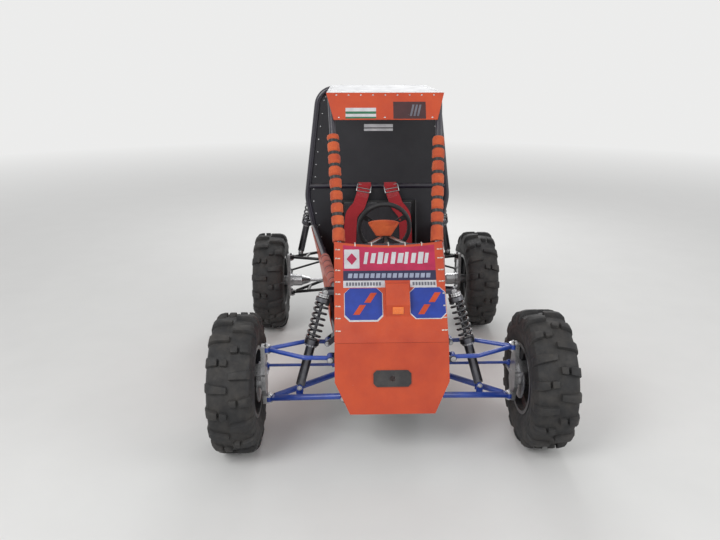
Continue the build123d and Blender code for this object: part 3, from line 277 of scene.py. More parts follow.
def mixed(tree, factor, first, second):
    node = tree.nodes.new("ShaderNodeMix")
    node.data_type = "RGBA"
    for socket, colour in ((node.inputs["A"], first), (node.inputs["B"], second)):
        if isinstance(colour, tuple):
            socket.default_value = (*colour, 1.0)
        else:
            tree.links.new(colour, socket)
    if isinstance(factor, float):
        node.inputs["Factor"].default_value = factor
    else:
        tree.links.new(factor, node.inputs["Factor"])
    return node.outputs["Result"]


def times(tree, first, second):
    node = tree.nodes.new("ShaderNodeMath")
    node.operation = "MULTIPLY"
    for socket, value in zip(node.inputs, (first, second)):
        if isinstance(value, float):
            socket.default_value = value
        else:
            tree.links.new(value, socket)
    return node.outputs["Value"]


def relief(tree, shader, height, strength, distance):
    bump = tree.nodes.new("ShaderNodeBump")
    bump.inputs["Strength"].default_value = strength
    bump.inputs["Distance"].default_value = distance
    tree.links.new(height, bump.inputs["Height"])
    tree.links.new(bump.outputs["Normal"], shader.inputs["Normal"])


def upward(tree):
    # 1 on faces that look up, 0 on walls and undersides
    geometry = tree.nodes.new("ShaderNodeNewGeometry")
    split = tree.nodes.new("ShaderNodeSeparateXYZ")
    tree.links.new(geometry.outputs["Normal"], split.inputs["Vector"])
    return ranged(tree, split.outputs["Z"], 0.1, 0.9)


def enamel(name, colour, shade, rough=(0.28, 0.45), coat=0.3, dust=0.25,
           metallic=0.0, grain=260.0, chips=None):
    material, tree, shader, coords = startMaterial(name)
    tone = mixed(tree, ranged(tree, noise(tree, coords, 5.0), 0.3, 0.7), shade, colour)
    if chips:
        spots = ranged(tree, noise(tree, coords, 55.0, 8.0, 0.75), 0.69, 0.72)
        tone = mixed(tree, spots, tone, chips)
    film = times(tree, ranged(tree, noise(tree, coords, 22.0, 9.0, 0.7), 0.42, 0.75), upward(tree))
    tone = mixed(tree, times(tree, film, dust), tone, (0.42, 0.36, 0.30))
    tree.links.new(tone, shader.inputs["Base Color"])
    tree.links.new(ranged(tree, noise(tree, coords, 14.0, 7.0), 0.3, 0.7, *rough), shader.inputs["Roughness"])
    shader.inputs["Metallic"].default_value = metallic
    shader.inputs["Coat Weight"].default_value = coat
    shader.inputs["Coat Roughness"].default_value = 0.18
    relief(tree, shader, noise(tree, coords, grain, 3.0), 0.16, 0.0006)
    return material


def bareMetal(name, colour, shade, rough=(0.25, 0.5), stretch=(1.0, 1.0, 1.0), grain=320.0, depth=0.0005):
    material, tree, shader, coords = startMaterial(name)
    tone = mixed(tree, ranged(tree, noise(tree, coords, 18.0, 8.0), 0.3, 0.72), shade, colour)
    tree.links.new(tone, shader.inputs["Base Color"])
    lines = noise(tree, coords, grain, 4.0, 0.6, stretch)
    tree.links.new(ranged(tree, lines, 0.3, 0.7, *rough), shader.inputs["Roughness"])
    shader.inputs["Metallic"].default_value = 1.0
    relief(tree, shader, lines, 0.3, depth)
    return material


def rubber(name, colour, dusty, scale=60.0, rough=(0.62, 0.85), depth=0.0008):
    material, tree, shader, coords = startMaterial(name)
    worn = ranged(tree, noise(tree, coords, 9.0, 8.0, 0.7), 0.45, 0.75)
    tone = mixed(tree, times(tree, worn, 0.55), colour, dusty)
    tree.links.new(tone, shader.inputs["Base Color"])
    tree.links.new(ranged(tree, noise(tree, coords, 30.0), 0.3, 0.7, *rough), shader.inputs["Roughness"])
    relief(tree, shader, noise(tree, coords, scale * 6, 6.0, 0.7), 0.35, depth)
    return material


def cloth(name, colour, shade, threads=900.0, angle=0.0, sheen=0.25, depth=0.0007):
    material, tree, shader, coords = startMaterial(name)
    mapping = tree.nodes.new("ShaderNodeMapping")
    mapping.inputs["Rotation"].default_value = (0.6, 0.3, angle)
    tree.links.new(coords, mapping.inputs["Vector"])
    heights = []
    for direction in ("X", "Z"):
        wave = tree.nodes.new("ShaderNodeTexWave")
        wave.bands_direction = direction
        wave.inputs["Scale"].default_value = threads / math.tau
        wave.inputs["Distortion"].default_value = 0.6
        wave.inputs["Detail"].default_value = 1.0
        tree.links.new(mapping.outputs["Vector"], wave.inputs["Vector"])
        heights.append(wave.outputs["Fac"])
    weave = times(tree, heights[0], heights[1])
    faded = ranged(tree, noise(tree, coords, 7.0, 7.0), 0.35, 0.7)
    tone = mixed(tree, faded, shade, colour)
    # the raised threads of the weave are painted lighter: a painted highlight on the thread crowns
    tone = mixed(tree, times(tree, weave, 0.35), tone, tuple(min(1.0, c * 1.7 + 0.01) for c in colour))
    tree.links.new(tone, shader.inputs["Base Color"])
    tree.links.new(ranged(tree, weave, 0.0, 1.0, 0.95, 0.78), shader.inputs["Roughness"])
    shader.inputs["Sheen Weight"].default_value = sheen
    relief(tree, shader, weave, 0.5, depth)
    return material


def foam(name, colour, shade, torn):
    material, tree, shader, coords = startMaterial(name)
    tone = mixed(tree, ranged(tree, noise(tree, coords, 12.0, 8.0), 0.35, 0.68), shade, colour)
    cells = tree.nodes.new("ShaderNodeTexVoronoi")
    cells.inputs["Scale"].default_value = 700.0
    tree.links.new(coords, cells.inputs["Vector"])
    scuffs = ranged(tree, noise(tree, coords, 48.0, 6.0, 0.7, (1.0, 1.0, 2.2)), 0.64, 0.70)
    tone = mixed(tree, times(tree, scuffs, 0.6), tone, torn)
    tree.links.new(tone, shader.inputs["Base Color"])
    tree.links.new(ranged(tree, cells.outputs["Distance"], 0.0, 0.6, 0.92, 0.7), shader.inputs["Roughness"])
    shader.inputs["Sheen Weight"].default_value = 0.15
    relief(tree, shader, cells.outputs["Distance"], 0.45, 0.0008)
    return material


def vinyl(name, colour, shade, rough=0.42):
    # a printed or cut film stuck on a panel, a little scuffed
    material, tree, shader, coords = startMaterial(name)
    tone = mixed(tree, ranged(tree, noise(tree, coords, 16.0, 8.0), 0.35, 0.7), shade, colour)
    scuff = ranged(tree, noise(tree, coords, 90.0, 8.0, 0.75, (1.0, 0.25, 1.0)), 0.66, 0.72)
    tone = mixed(tree, times(tree, scuff, 0.5), tone, (0.55, 0.50, 0.46))
    tree.links.new(tone, shader.inputs["Base Color"])
    roughness = ranged(tree, noise(tree, coords, 40.0), 0.3, 0.7, rough - 0.1, rough + 0.14)
    tree.links.new(roughness, shader.inputs["Roughness"])
    relief(tree, shader, noise(tree, coords, 180.0, 3.0), 0.12, 0.0005)
    return material


orangePaint = enamel(
    "orange panel paint", (0.60, 0.072, 0.012), (0.45, 0.040, 0.008), coat=0.3, dust=0.05,
    chips=(0.45, 0.28, 0.20))
cagePaint = enamel("cage enamel", (0.020, 0.017, 0.032), (0.010, 0.009, 0.017), coat=0.5, dust=0.18)
bluePaint = enamel("blue arm enamel", (0.018, 0.075, 0.44), (0.010, 0.040, 0.27), coat=0.45, dust=0.2)
blackPaint = enamel("black arm enamel", (0.022, 0.022, 0.026), (0.010, 0.010, 0.012), dust=0.22)
rimPaint = enamel(
    "rim paint", (0.040, 0.040, 0.044), (0.020, 0.020, 0.023), dust=0.3, chips=(0.25, 0.24, 0.23))
machined = bareMetal("machined steel", (0.56, 0.56, 0.57), (0.36, 0.36, 0.37), (0.22, 0.42))
darkSteel = enamel("dark steel", (0.062, 0.060, 0.062), (0.030, 0.029, 0.031), (0.38, 0.58), 0.0, 0.25, 0.6)
damperBody = bareMetal("damper body", (0.17, 0.17, 0.185), (0.10, 0.10, 0.11), (0.26, 0.46))
springPaint = enamel("spring coat", (0.030, 0.030, 0.036), (0.016, 0.016, 0.020), (0.22, 0.36), 0.5, 0.1)
tyreRubber = rubber("tyre rubber", (0.020, 0.020, 0.021), (0.085, 0.075, 0.065))
gripRubber = rubber("grip rubber", (0.016, 0.016, 0.018), (0.040, 0.038, 0.038), 160.0, (0.45, 0.7), 0.0004)
panSheet = bareMetal("pan sheet", (0.46, 0.46, 0.46), (0.28, 0.27, 0.26), (0.32, 0.6), (1.0, 0.06, 1.0))
# the roof's pale white stands in for the sky's glare on its top: a painted reflection
roofGlareWhite = enamel("roof white, painted sky glare", (0.60, 0.61, 0.63), (0.48, 0.49, 0.51), (0.5, 0.68), 0.0, 0.15)
blackSheet = enamel("firewall sheet", (0.020, 0.020, 0.025), (0.011, 0.011, 0.015), (0.42, 0.6), 0.0, 0.15)
padFoam = foam("pillar foam", (0.64, 0.120, 0.028), (0.44, 0.056, 0.016), (0.60, 0.36, 0.22))
paleFoam = foam("rail sleeve foam", (0.52, 0.150, 0.110), (0.34, 0.075, 0.060), (0.55, 0.36, 0.30))
shellPlastic = enamel(
    "seat shell", (0.022, 0.022, 0.024), (0.012, 0.012, 0.013), (0.4, 0.6), 0.0, 0.1, grain=520.0)
seatCloth = cloth("seat cloth", (0.024, 0.022, 0.027), (0.013, 0.012, 0.015), 760.0)
beltCloth = cloth("belt webbing", (0.38, 0.014, 0.022), (0.26, 0.008, 0.014), 1500.0, 0.3, 0.35, 0.0004)
casting = bareMetal(
    "engine casting", (0.48, 0.48, 0.49), (0.27, 0.27, 0.28), (0.42, 0.66), grain=420.0, depth=0.0009)
coverPaint = enamel("engine cover", (0.050, 0.050, 0.055), (0.028, 0.028, 0.031), dust=0.2, grain=420.0)
tankPaint = enamel("tank coat", (0.045, 0.045, 0.050), (0.026, 0.026, 0.029), coat=0.35, dust=0.2)
strapBlack = rubber("strap black", (0.012, 0.012, 0.014), (0.05, 0.047, 0.045), 120.0, (0.4, 0.6), 0.0003)
tieWhite = vinyl("cable tie", (0.72, 0.69, 0.64), (0.52, 0.48, 0.43), 0.4)
magentaFilm = vinyl("red sticker film", (0.50, 0.018, 0.085), (0.36, 0.012, 0.060))
navyFilm = vinyl("navy sticker film", (0.020, 0.018, 0.070), (0.012, 0.011, 0.045))
whiteFilm = vinyl("white sticker film", (0.66, 0.66, 0.68), (0.50, 0.50, 0.53))
blueFilm = vinyl("blue sticker film", (0.014, 0.050, 0.36), (0.010, 0.032, 0.25))
greenFilm = vinyl("green sticker film", (0.030, 0.17, 0.085), (0.020, 0.12, 0.060))
darkFilm = vinyl("dark sticker film", (0.060, 0.018, 0.020), (0.040, 0.012, 0.014))
greyFilm = vinyl("grey sticker film", (0.17, 0.17, 0.20), (0.11, 0.11, 0.14))
paleBlueFilm = vinyl("pale blue sticker film", (0.36, 0.40, 0.52), (0.26, 0.29, 0.40))
orangeFilm = vinyl("orange sticker film", (0.62, 0.075, 0.014), (0.46, 0.045, 0.010))
# bright amber for the hatch plate: a painted highlight
amberHighlight = enamel("amber highlight plate", (0.95, 0.24, 0.03), (0.80, 0.15, 0.02), (0.08, 0.2), 1.0, 0.02)
threadPale = vinyl("pale stitching", (0.60, 0.30, 0.30), (0.45, 0.20, 0.20), 0.6)
print("materials made")

# finish of each material slot, for the nodes that stay as they are
slotLooks = {
    "orange_panel": orangePaint, "cage_tube": cagePaint, "blue_arm": bluePaint, "black_arm": blackPaint,
    "tyre_rubber": tyreRubber, "rim_steel": rimPaint, "machined_steel": machined, "dark_steel": darkSteel,
    "damper_body": damperBody, "spring_coat": springPaint, "wheel_rubber": gripRubber, "pan_sheet": panSheet,
    "roof_sheet": roofGlareWhite, "black_sheet": blackSheet, "orange_pad": padFoam, "black_plastic": shellPlastic,
    "seat_fabric": seatCloth, "red_belt": beltCloth, "engine_casting": casting, "engine_cover": coverPaint,
    "tank_coat": tankPaint,
}
for name, obj in nodes.items():
    for slotted in obj.material_slots:
        look = slotLooks.get(slotted.material.name.split(".")[0])
        if look is None:
            print("no finish for", name, slotted.material.name)
            look = darkSteel
        slotted.material = look


# camera, floor and light

camera = {"place": (-0.2138, -3.4128, 1.7019), "yaw": 1.627, "pitch": 17.634, "lens": 32.286}

yaw, pitch = math.radians(camera["yaw"]), math.radians(camera["pitch"])
look = Vector((math.sin(yaw) * math.cos(pitch), math.cos(yaw) * math.cos(pitch), -math.sin(pitch)))
lens = bpy.data.cameras.new("photo camera")
lens.lens = camera["lens"]
lens.sensor_width = 36.0
lens.sensor_fit = "HORIZONTAL"
viewer = bpy.data.objects.new("photo camera", lens)
viewer.location = camera["place"]
viewer.rotation_euler = look.to_track_quat("-Z", "Y").to_euler()
bpy.context.scene.collection.objects.link(viewer)
bpy.context.scene.camera = viewer

room = {"floor": (0.78, 0.78, 0.77), "backdrop": (0.84, 0.84, 0.835), "sky": 0.45, "near": 2.0, "far": 12.0}


def backdropRays(tree):
    # 1 for the rays that show the backdrop as it is written
    rays = tree.nodes.new("ShaderNodeLightPath")
    most = rays.outputs["Is Camera Ray"]
    for name in ("Is Glossy Ray", "Is Transmission Ray"):
        larger = tree.nodes.new("ShaderNodeMath")
        larger.operation = "MAXIMUM"
        tree.links.new(most, larger.inputs[0])
        tree.links.new(rays.outputs[name], larger.inputs[1])
        most = larger.outputs["Value"]
    return most


bpy.ops.mesh.primitive_plane_add(size=60, location=(0, 0, 0))
floor = bpy.context.object
floor.name = "floor"
floorPaint, tree, shader, coords = startMaterial("studio floor")
floorShade = tuple(c * 0.97 for c in room["floor"])
tone = mixed(tree, ranged(tree, noise(tree, coords, 3.0), 0.3, 0.7), room["floor"], floorShade)
tree.links.new(tone, shader.inputs["Base Color"])
shader.inputs["Roughness"].default_value = 0.9
reach = tree.nodes.new("ShaderNodeVectorMath")
reach.operation = "LENGTH"
tree.links.new(coords, reach.inputs[0])
away = times(tree, ranged(tree, reach.outputs["Value"], room["near"], room["far"]), backdropRays(tree))
glow = tree.nodes.new("ShaderNodeEmission")
glow.inputs["Color"].default_value = (*room["backdrop"], 1)
blend = tree.nodes.new("ShaderNodeMixShader")
tree.links.new(away, blend.inputs["Fac"])
tree.links.new(shader.outputs["BSDF"], blend.inputs[1])
tree.links.new(glow.outputs["Emission"], blend.inputs[2])
tree.links.new(blend.outputs["Shader"], tree.nodes["Material Output"].inputs["Surface"])
floor.data.materials.append(floorPaint)

world = bpy.data.worlds.new("studio")
bpy.context.scene.world = world
world.use_nodes = True
tree = world.node_tree
plain = tree.nodes["Background"]
plain.inputs["Color"].default_value = (1, 1, 1, 1)
plain.inputs["Strength"].default_value = room["sky"]
seen = tree.nodes.new("ShaderNodeBackground")
seen.inputs["Color"].default_value = (*room["backdrop"], 1)
seen.inputs["Strength"].default_value = 1.0
choose = tree.nodes.new("ShaderNodeMixShader")
tree.links.new(backdropRays(tree), choose.inputs["Fac"])
tree.links.new(plain.outputs["Background"], choose.inputs[1])
tree.links.new(seen.outputs["Background"], choose.inputs[2])
tree.links.new(choose.outputs["Shader"], tree.nodes["World Output"].inputs["Surface"])

# columns: name, place, what it looks at, width, power
lamps = [
    ("key", (-2.6, -3.6, 3.6), (0, -0.2, 0.7), 2.2, 108),
    ("fill", (3.4, -2.6, 2.4), (0, 0, 0.6), 2.6, 52),
    ("back", (0.6, 4.0, 3.4), (0, 0.4, 0.8), 2.6, 95),
]
for name, spot, target, width, power in lamps:
    light = bpy.data.lights.new(name, "AREA")
    light.size = width
    light.energy = power
    lamp = bpy.data.objects.new(name, light)
    lamp.location = spot
    lamp.rotation_euler = (Vector(target) - Vector(spot)).to_track_quat("-Z", "Y").to_euler()
    bpy.context.scene.collection.objects.link(lamp)
bpy.context.scene.view_settings.view_transform = "Standard"
print("camera and light set")


# off-road tyres: one carcass with two rows of lugs, copied to the four wheels

tyre = {
    "half": 0.100, "top": 0.3175, "base": 0.3005, "perSide": 17, "steps": 102,
    "lugWidth": 0.045, "lugEdge": 0.0028, "lugLean": 0.10, "lugTaper": 0.82,
}
wheelPlaces = {
    "front_left": (0.6925, -0.732), "front_right": (-0.6925, -0.732),
    "rear_left": (0.6875, 0.732), "rear_right": (-0.6875, 0.732),
}


def onWheels(source, name, material, degrees=35, replaced=None):
    # copies a piece made at the origin to the four wheels, its outer face outwards
    for wheel, (x, y) in wheelPlaces.items():
        flip = Matrix.Rotation(math.pi if x < 0 else 0.0, 4, "Z")
        piece = copyOf(source, Matrix.Translation((x, y, tyre["top"])) @ flip)
        gone = (replaced + wheel,) if replaced else ()
        finished(piece, name + wheel, "wheel_" + wheel, material, degrees, gone)
    bpy.data.objects.remove(source)


def tyreCarcass():
    half, base = tyre["half"], tyre["base"]
    side = [
        (0.0846, 0.1531), (0.0846, 0.1668), (0.0880, 0.1760), (0.0925, 0.1880), (0.0958, 0.2010),
        (0.0972, 0.2035), (0.0985, 0.2060), (0.0992, 0.2200), (half - 0.0004, 0.2350), (half, 0.2380),
        (half - 0.0010, 0.2410), (half - 0.0016, 0.2560), (half - 0.0060, 0.2720),
        (half - 0.0140, 0.2870), (half - 0.0280, 0.2950), (0.0480, base - 0.0020), (0.0220, base),
    ]
    outline = side + [(-x, r) for x, r in reversed(side)] + [side[0]]
    return spunAboutX(outline, tyre["steps"])


def tyreLug(stations):
    # a block swept over the shoulder: stations of (x, low radius, high radius, half width)
    spans = len(stations) - 1
    bpy.ops.mesh.primitive_cube_add(size=1)
    lug = bpy.context.object
    editAll(lug)
    for cut in range(1, spans):
        bpy.ops.mesh.select_all(action="SELECT")
        bpy.ops.mesh.bisect(plane_co=(cut / spans - 0.5, 0, 0), plane_no=(1, 0, 0))
    done()
    for vertex in lug.data.vertices:
        index = round((vertex.co.x + 0.5) * spans)
        x, low, high, wide = stations[index]
        up = vertex.co.z > 0
        taper = tyre["lugTaper"] if up else 1.0
        y = math.copysign(wide * taper, vertex.co.y) + tyre["lugLean"] * (0.05 - x)
        vertex.co = (x + (0.0015 if up and index == spans else 0.0), y, high if up else low)
    return bevelAll(lug, tyre["lugEdge"], 2, 25)


def tyreLugs():
    top, wide = tyre["top"], tyre["lugWidth"] / 2
    shoulder = [
        (0.0790, 0.280, top - 0.0060, wide), (0.0925, 0.262, top - 0.0200, wide),
        (0.0985, 0.246, top - 0.0440, wide * 0.96),
    ]
    longOne = [
        (0.004, 0.288, top - 0.0002, wide * 0.72), (0.030, 0.288, top - 0.0003, wide * 0.80),
        (0.058, 0.286, top - 0.0012, wide * 0.92),
    ]
    shortOne = [
        (0.046, 0.287, top - 0.0008, wide * 0.82), (0.060, 0.286, top - 0.0012, wide * 0.90),
    ]
    knob = [
        (0.006, 0.288, top - 0.0002, wide * 0.74), (0.022, 0.288, top - 0.0002, wide * 0.80),
        (0.034, 0.288, top - 0.0004, wide * 0.78),
    ]
    bars = tyreLug(longOne + shoulder)
    blocks = joined([tyreLug(shortOne + shoulder), tyreLug(knob)], "short lug")
    turned = []
    for side in (1, -1):
        for step in range(tyre["perSide"]):
            angle = math.tau * (step - side * 0.25) / tyre["perSide"]
            source = bars if step % 2 == 0 else blocks
            turned.append(copyOf(source, Matrix.Rotation(angle, 4, "X") @ mirrored(side)))
    bpy.data.objects.remove(bars)
    bpy.data.objects.remove(blocks)
    return turned


firstTyre = joined([tyreCarcass()] + tyreLugs(), "tyre")
onWheels(firstTyre, "offroad_tyre_", tyreRubber, 32, "tyre_")
print("tyres made")


# wheel nuts on their studs, one set copied to the four wheels

wheelTrim = {
    "nuts": 4, "circle": 0.052, "nut": 0.0095, "nutHeight": 0.012, "face": 0.0232, "sunk": 0.002,
    "stud": 0.005, "studReach": 0.007,
}


def hubTrim():
    foot = wheelTrim["face"] - wheelTrim["sunk"]
    top = wheelTrim["face"] + wheelTrim["nutHeight"]
    parts = []
    for step in range(wheelTrim["nuts"]):
        angle = math.tau * (step + 0.5) / wheelTrim["nuts"]
        y, z = wheelTrim["circle"] * math.cos(angle), wheelTrim["circle"] * math.sin(angle)
        parts.append(roundBar((foot, y, z), (top, y, z), wheelTrim["nut"], 6, 0.001))
        tip = (top + wheelTrim["studReach"], y, z)
        parts.append(roundBar((foot, y, z), tip, wheelTrim["stud"], 16, 0.0008))
    return joined(parts, "wheel nuts")


onWheels(hubTrim(), "wheel_nuts_", machined)
print("wheel nuts made")


# foam pads round the front pillars, pinched by black straps

pillarPad = {
    "radius": 0.0300, "pinch": 0.0075, "sides": 28, "rings": 120, "start": 0.906, "foot": 0.4835,
    "strap": 0.0150, "strapThick": 0.0014, "strapSunk": 0.002, "strapLift": 0.0006,
    "tail": (0.012, 0.0026, 0.0135),
}
pillarLow, pillarHigh = Vector((0.228, -0.510, 0.893)), Vector((0.264, -0.172, 1.554))
# columns: side, sign of x, top, height of the lowest strap, pitch and number of straps
pillarRows = [("left", 1, 1.368, 0.987, 0.0559, 7), ("right", -1, 1.378, 0.977, 0.0534, 8)]


def pillarSpot(height):
    return pillarLow.lerp(pillarHigh, (height - pillarLow.z) / (pillarHigh.z - pillarLow.z))


def sheetMatrix(origin, run):
    # a frame on a body sheet: X across the car, Y up along the sheet, Z out of it
    run = Vector(run).normalized()
    out = Vector((1, 0, 0)).cross(run)
    rows = Matrix((Vector((1, 0, 0)), run, out)).transposed()
    return Matrix.Translation(origin) @ rows.to_4x4()


bonnetSheet = sheetMatrix((0, -0.794, 0.528), (0, 0.284, 0.365))
visorSheet = sheetMatrix((0, -0.172, 1.554), (0, 0.45528, 0.89036))


def pillarFoam(length, strapPlaces):
    radius, rings, middle = pillarPad["radius"], pillarPad["rings"], (0, 0, length / 2)
    bpy.ops.mesh.primitive_cylinder_add(
        vertices=pillarPad["sides"], radius=radius, depth=length, location=middle)
    obj = bpy.context.object
    freeze(obj)
    for lid in (-1, 1):
        pick(obj, lambda middle, normal: normal.z * lid > 0.9)
        bpy.ops.mesh.inset(thickness=0.006)
        bpy.ops.transform.translate(value=(0, 0, lid * 0.0015))
        bpy.ops.mesh.inset(thickness=0.0060)
        done()
    editAll(obj)
    for ring in range(1, rings):
        bpy.ops.mesh.select_all(action="SELECT")
        bpy.ops.mesh.bisect(plane_co=(0, 0, length * ring / rings), plane_no=(0, 0, 1))
    done()
    for vertex in obj.data.vertices:
        z = min(max(vertex.co.z, 0), length)
        around = math.atan2(vertex.co.y, vertex.co.x)
        pinch = sum(math.exp(-(((z - h) / 0.0105) ** 4)) for h in strapPlaces)
        ends = math.exp(-((min(z, length - z) / 0.006) ** 2))
        swell = 0.0006 * math.sin(z * 61 + around * 2) + 0.0005 * math.sin(around * 5 + z * 140)
        keep = 1 - (pillarPad["pinch"] * pinch + 0.0035 * ends - swell + 0.0008) / radius
        seam = math.exp(-(((around + 1.9) / 0.09) ** 2)) * 0.0022
        reach = Vector((vertex.co.x, vertex.co.y)).length
        if reach > 0.028:
            vertex.co.x *= keep - seam / reach
            vertex.co.y *= keep - seam / reach
    return obj


def pillarStraps(strapPlaces):
    bands = []
    reach = pillarPad["radius"] - pillarPad["pinch"] + pillarPad["strapLift"]
    inner, outer = reach - pillarPad["strapSunk"], reach + pillarPad["strapThick"]
    half = pillarPad["strap"] / 2
    for height in strapPlaces:
        band = bandAboutX(height - half, height + half, inner, outer, 32)
        place(band, Matrix.Rotation(-math.pi / 2, 4, "Y"))
        tail = brick(pillarPad["tail"], (0, -reach - 0.0020, height + 0.0006), 0.0008)
        bands.append(joined([band, tail], "band"))
    return joined(bands, "straps")


def cutOff(obj, spot, normal):
    # takes away what lies beyond the plane, and closes the cut
    editAll(obj)
    bpy.ops.mesh.bisect(plane_co=spot, plane_no=normal, clear_outer=True, use_fill=True)
    done()
    return obj


padFoot = bonnetSheet @ Vector((0, pillarPad["foot"], 0))
padOut = -(bonnetSheet.to_3x3() @ Vector((0, 1, 0)))
for side, sign, top, first, pitch, count in pillarRows:
    start, end = pillarSpot(pillarPad["start"]), pillarSpot(top)
    run = end - start
    turn = mirrored(sign) @ aimed(start, run)
    strapPlaces = [(first + pitch * step - start.z) / run.normalized().z for step in range(count)]
    piece = cutOff(place(pillarFoam(run.length, strapPlaces), turn), padFoot, padOut)
    finished(piece, "pillar_foam_" + side, "chassis", padFoam, 50, ("pillar_pads",))
    piece = place(pillarStraps(strapPlaces), turn)
    finished(piece, "pillar_straps_" + side, "chassis", strapBlack)
print("pillar pads made")


# foam sleeves on the front part of the upper side rails

railSleeve = {
    "from": 0.15, "to": 0.50, "radius": 0.0245, "bore": 0.0155, "rings": 40, "sides": 28,
    "pinch": 0.0028, "ties": 5, "tieHalf": 0.003, "tieInner": 0.0032, "tieOuter": 0.0012,
}
railFront, railRear = Vector((0.2302, -0.666, 0.6925)), Vector((0.3852, 0.433, 0.765))


def railTiePlaces(length):
    return [length * (step + 0.5) / railSleeve["ties"] for step in range(railSleeve["ties"])]


def railFoam(length):
    outline = []
    for step in range(railSleeve["rings"] + 1):
        x = length * step / railSleeve["rings"]
        ends = math.exp(-((min(x, length - x) / 0.008) ** 2)) * 0.004
        tied = sum(math.exp(-(((x - tiePlace) / 0.006) ** 2)) for tiePlace in railTiePlaces(length))
        outline.append((x, railSleeve["radius"] - ends - railSleeve["pinch"] * tied))
    bore = railSleeve["bore"]
    return spunAboutX([(0, bore)] + outline + [(length, bore), (0, bore)], railSleeve["sides"])


def railTies(length):
    half = railSleeve["tieHalf"]
    inner = railSleeve["radius"] - railSleeve["tieInner"]
    outer = railSleeve["radius"] - railSleeve["tieOuter"]
    bands = []
    for x in railTiePlaces(length):
        bands.append(bandAboutX(x - half, x + half, inner, outer, railSleeve["sides"]))
    return joined(bands, "bands")


for side, sign in (("left", 1), ("right", -1)):
    start, end = (railFront.lerp(railRear, railSleeve[key]) for key in ("from", "to"))
    run = end - start
    turn = mirrored(sign) @ aimed(start, run, axis="X", up="Z")
    piece = place(railFoam(run.length), turn)
    finished(piece, "rail_foam_" + side, "chassis", paleFoam, 50)
    piece = place(railTies(run.length), turn)
    finished(piece, "rail_ties_" + side, "chassis", strapBlack)
print("rail sleeves made")


# films on the bonnet, the visor and the firewall: plain blocks, bars and stripes

filmCut = {
    "bonnet": 0.0193, "visor": 0.0198, "wall": 0.0, "sunk": 0.0002, "thick": 0.0007, "wallFace": 0.4315,
}
wallSheet = Matrix.Translation((0, filmCut["wallFace"], 0)) @ Matrix.Rotation(math.pi / 2, 4, "X")


def filmOn(sheet, skin, corners, layer, corner):
    film = flatPlate(corners, filmCut["thick"], corner)
    lift = skin - filmCut["sunk"] + filmCut["thick"] * (layer - 1)
    return place(film, sheet @ Matrix.Translation((0, 0, lift)))


def onBonnet(corners, layer=1, corner=0.0):
    return bonnetSheet, filmCut["bonnet"], corners, layer, corner


def onVisor(corners, layer=1):
    return visorSheet, filmCut["visor"], corners, layer, 0.0


def onWall(corners):
    return wallSheet, filmCut["wall"], corners, 1, 0.0


def box2d(x0, x1, y0, y1, cut=0.0, slant=0.0):
    if not cut:
        return [(x0, y0), (x1, y0), (x1 + slant, y1), (x0 + slant, y1)]
    return [
        (x0 + cut, y0), (x1 - cut, y0), (x1, y0 + cut), (x1, y1 - cut),
        (x1 - cut, y1), (x0 + cut, y1), (x0, y1 - cut), (x0, y0 + cut),
    ]


def archedBox(x0, x1, low, high, rise, steps=12):
    # a block whose upper edge follows the bonnet's hollow upper edge
    upper = [x1 + (x0 - x1) * step / steps for step in range(steps + 1)]
    return [(x0, low), (x1, low)] + [(x, high + rise * (x / x1) ** 2) for x in upper]


# columns: foot's left end, width, foot and top of each bar
stickerBars = [
    (-0.118 + 0.031 * k, 0.016 + 0.004 * (k % 3), 0.368 + 0.004 * (k % 2), 0.426 - 0.005 * (k % 2))
    for k in range(10)
]
dashes = [-0.198 + 0.0135 * k for k in range(12)] + [0.104 + 0.0135 * k for k in range(8)]
bandDashes = [-0.190 + 0.0255 * k for k in range(15)]
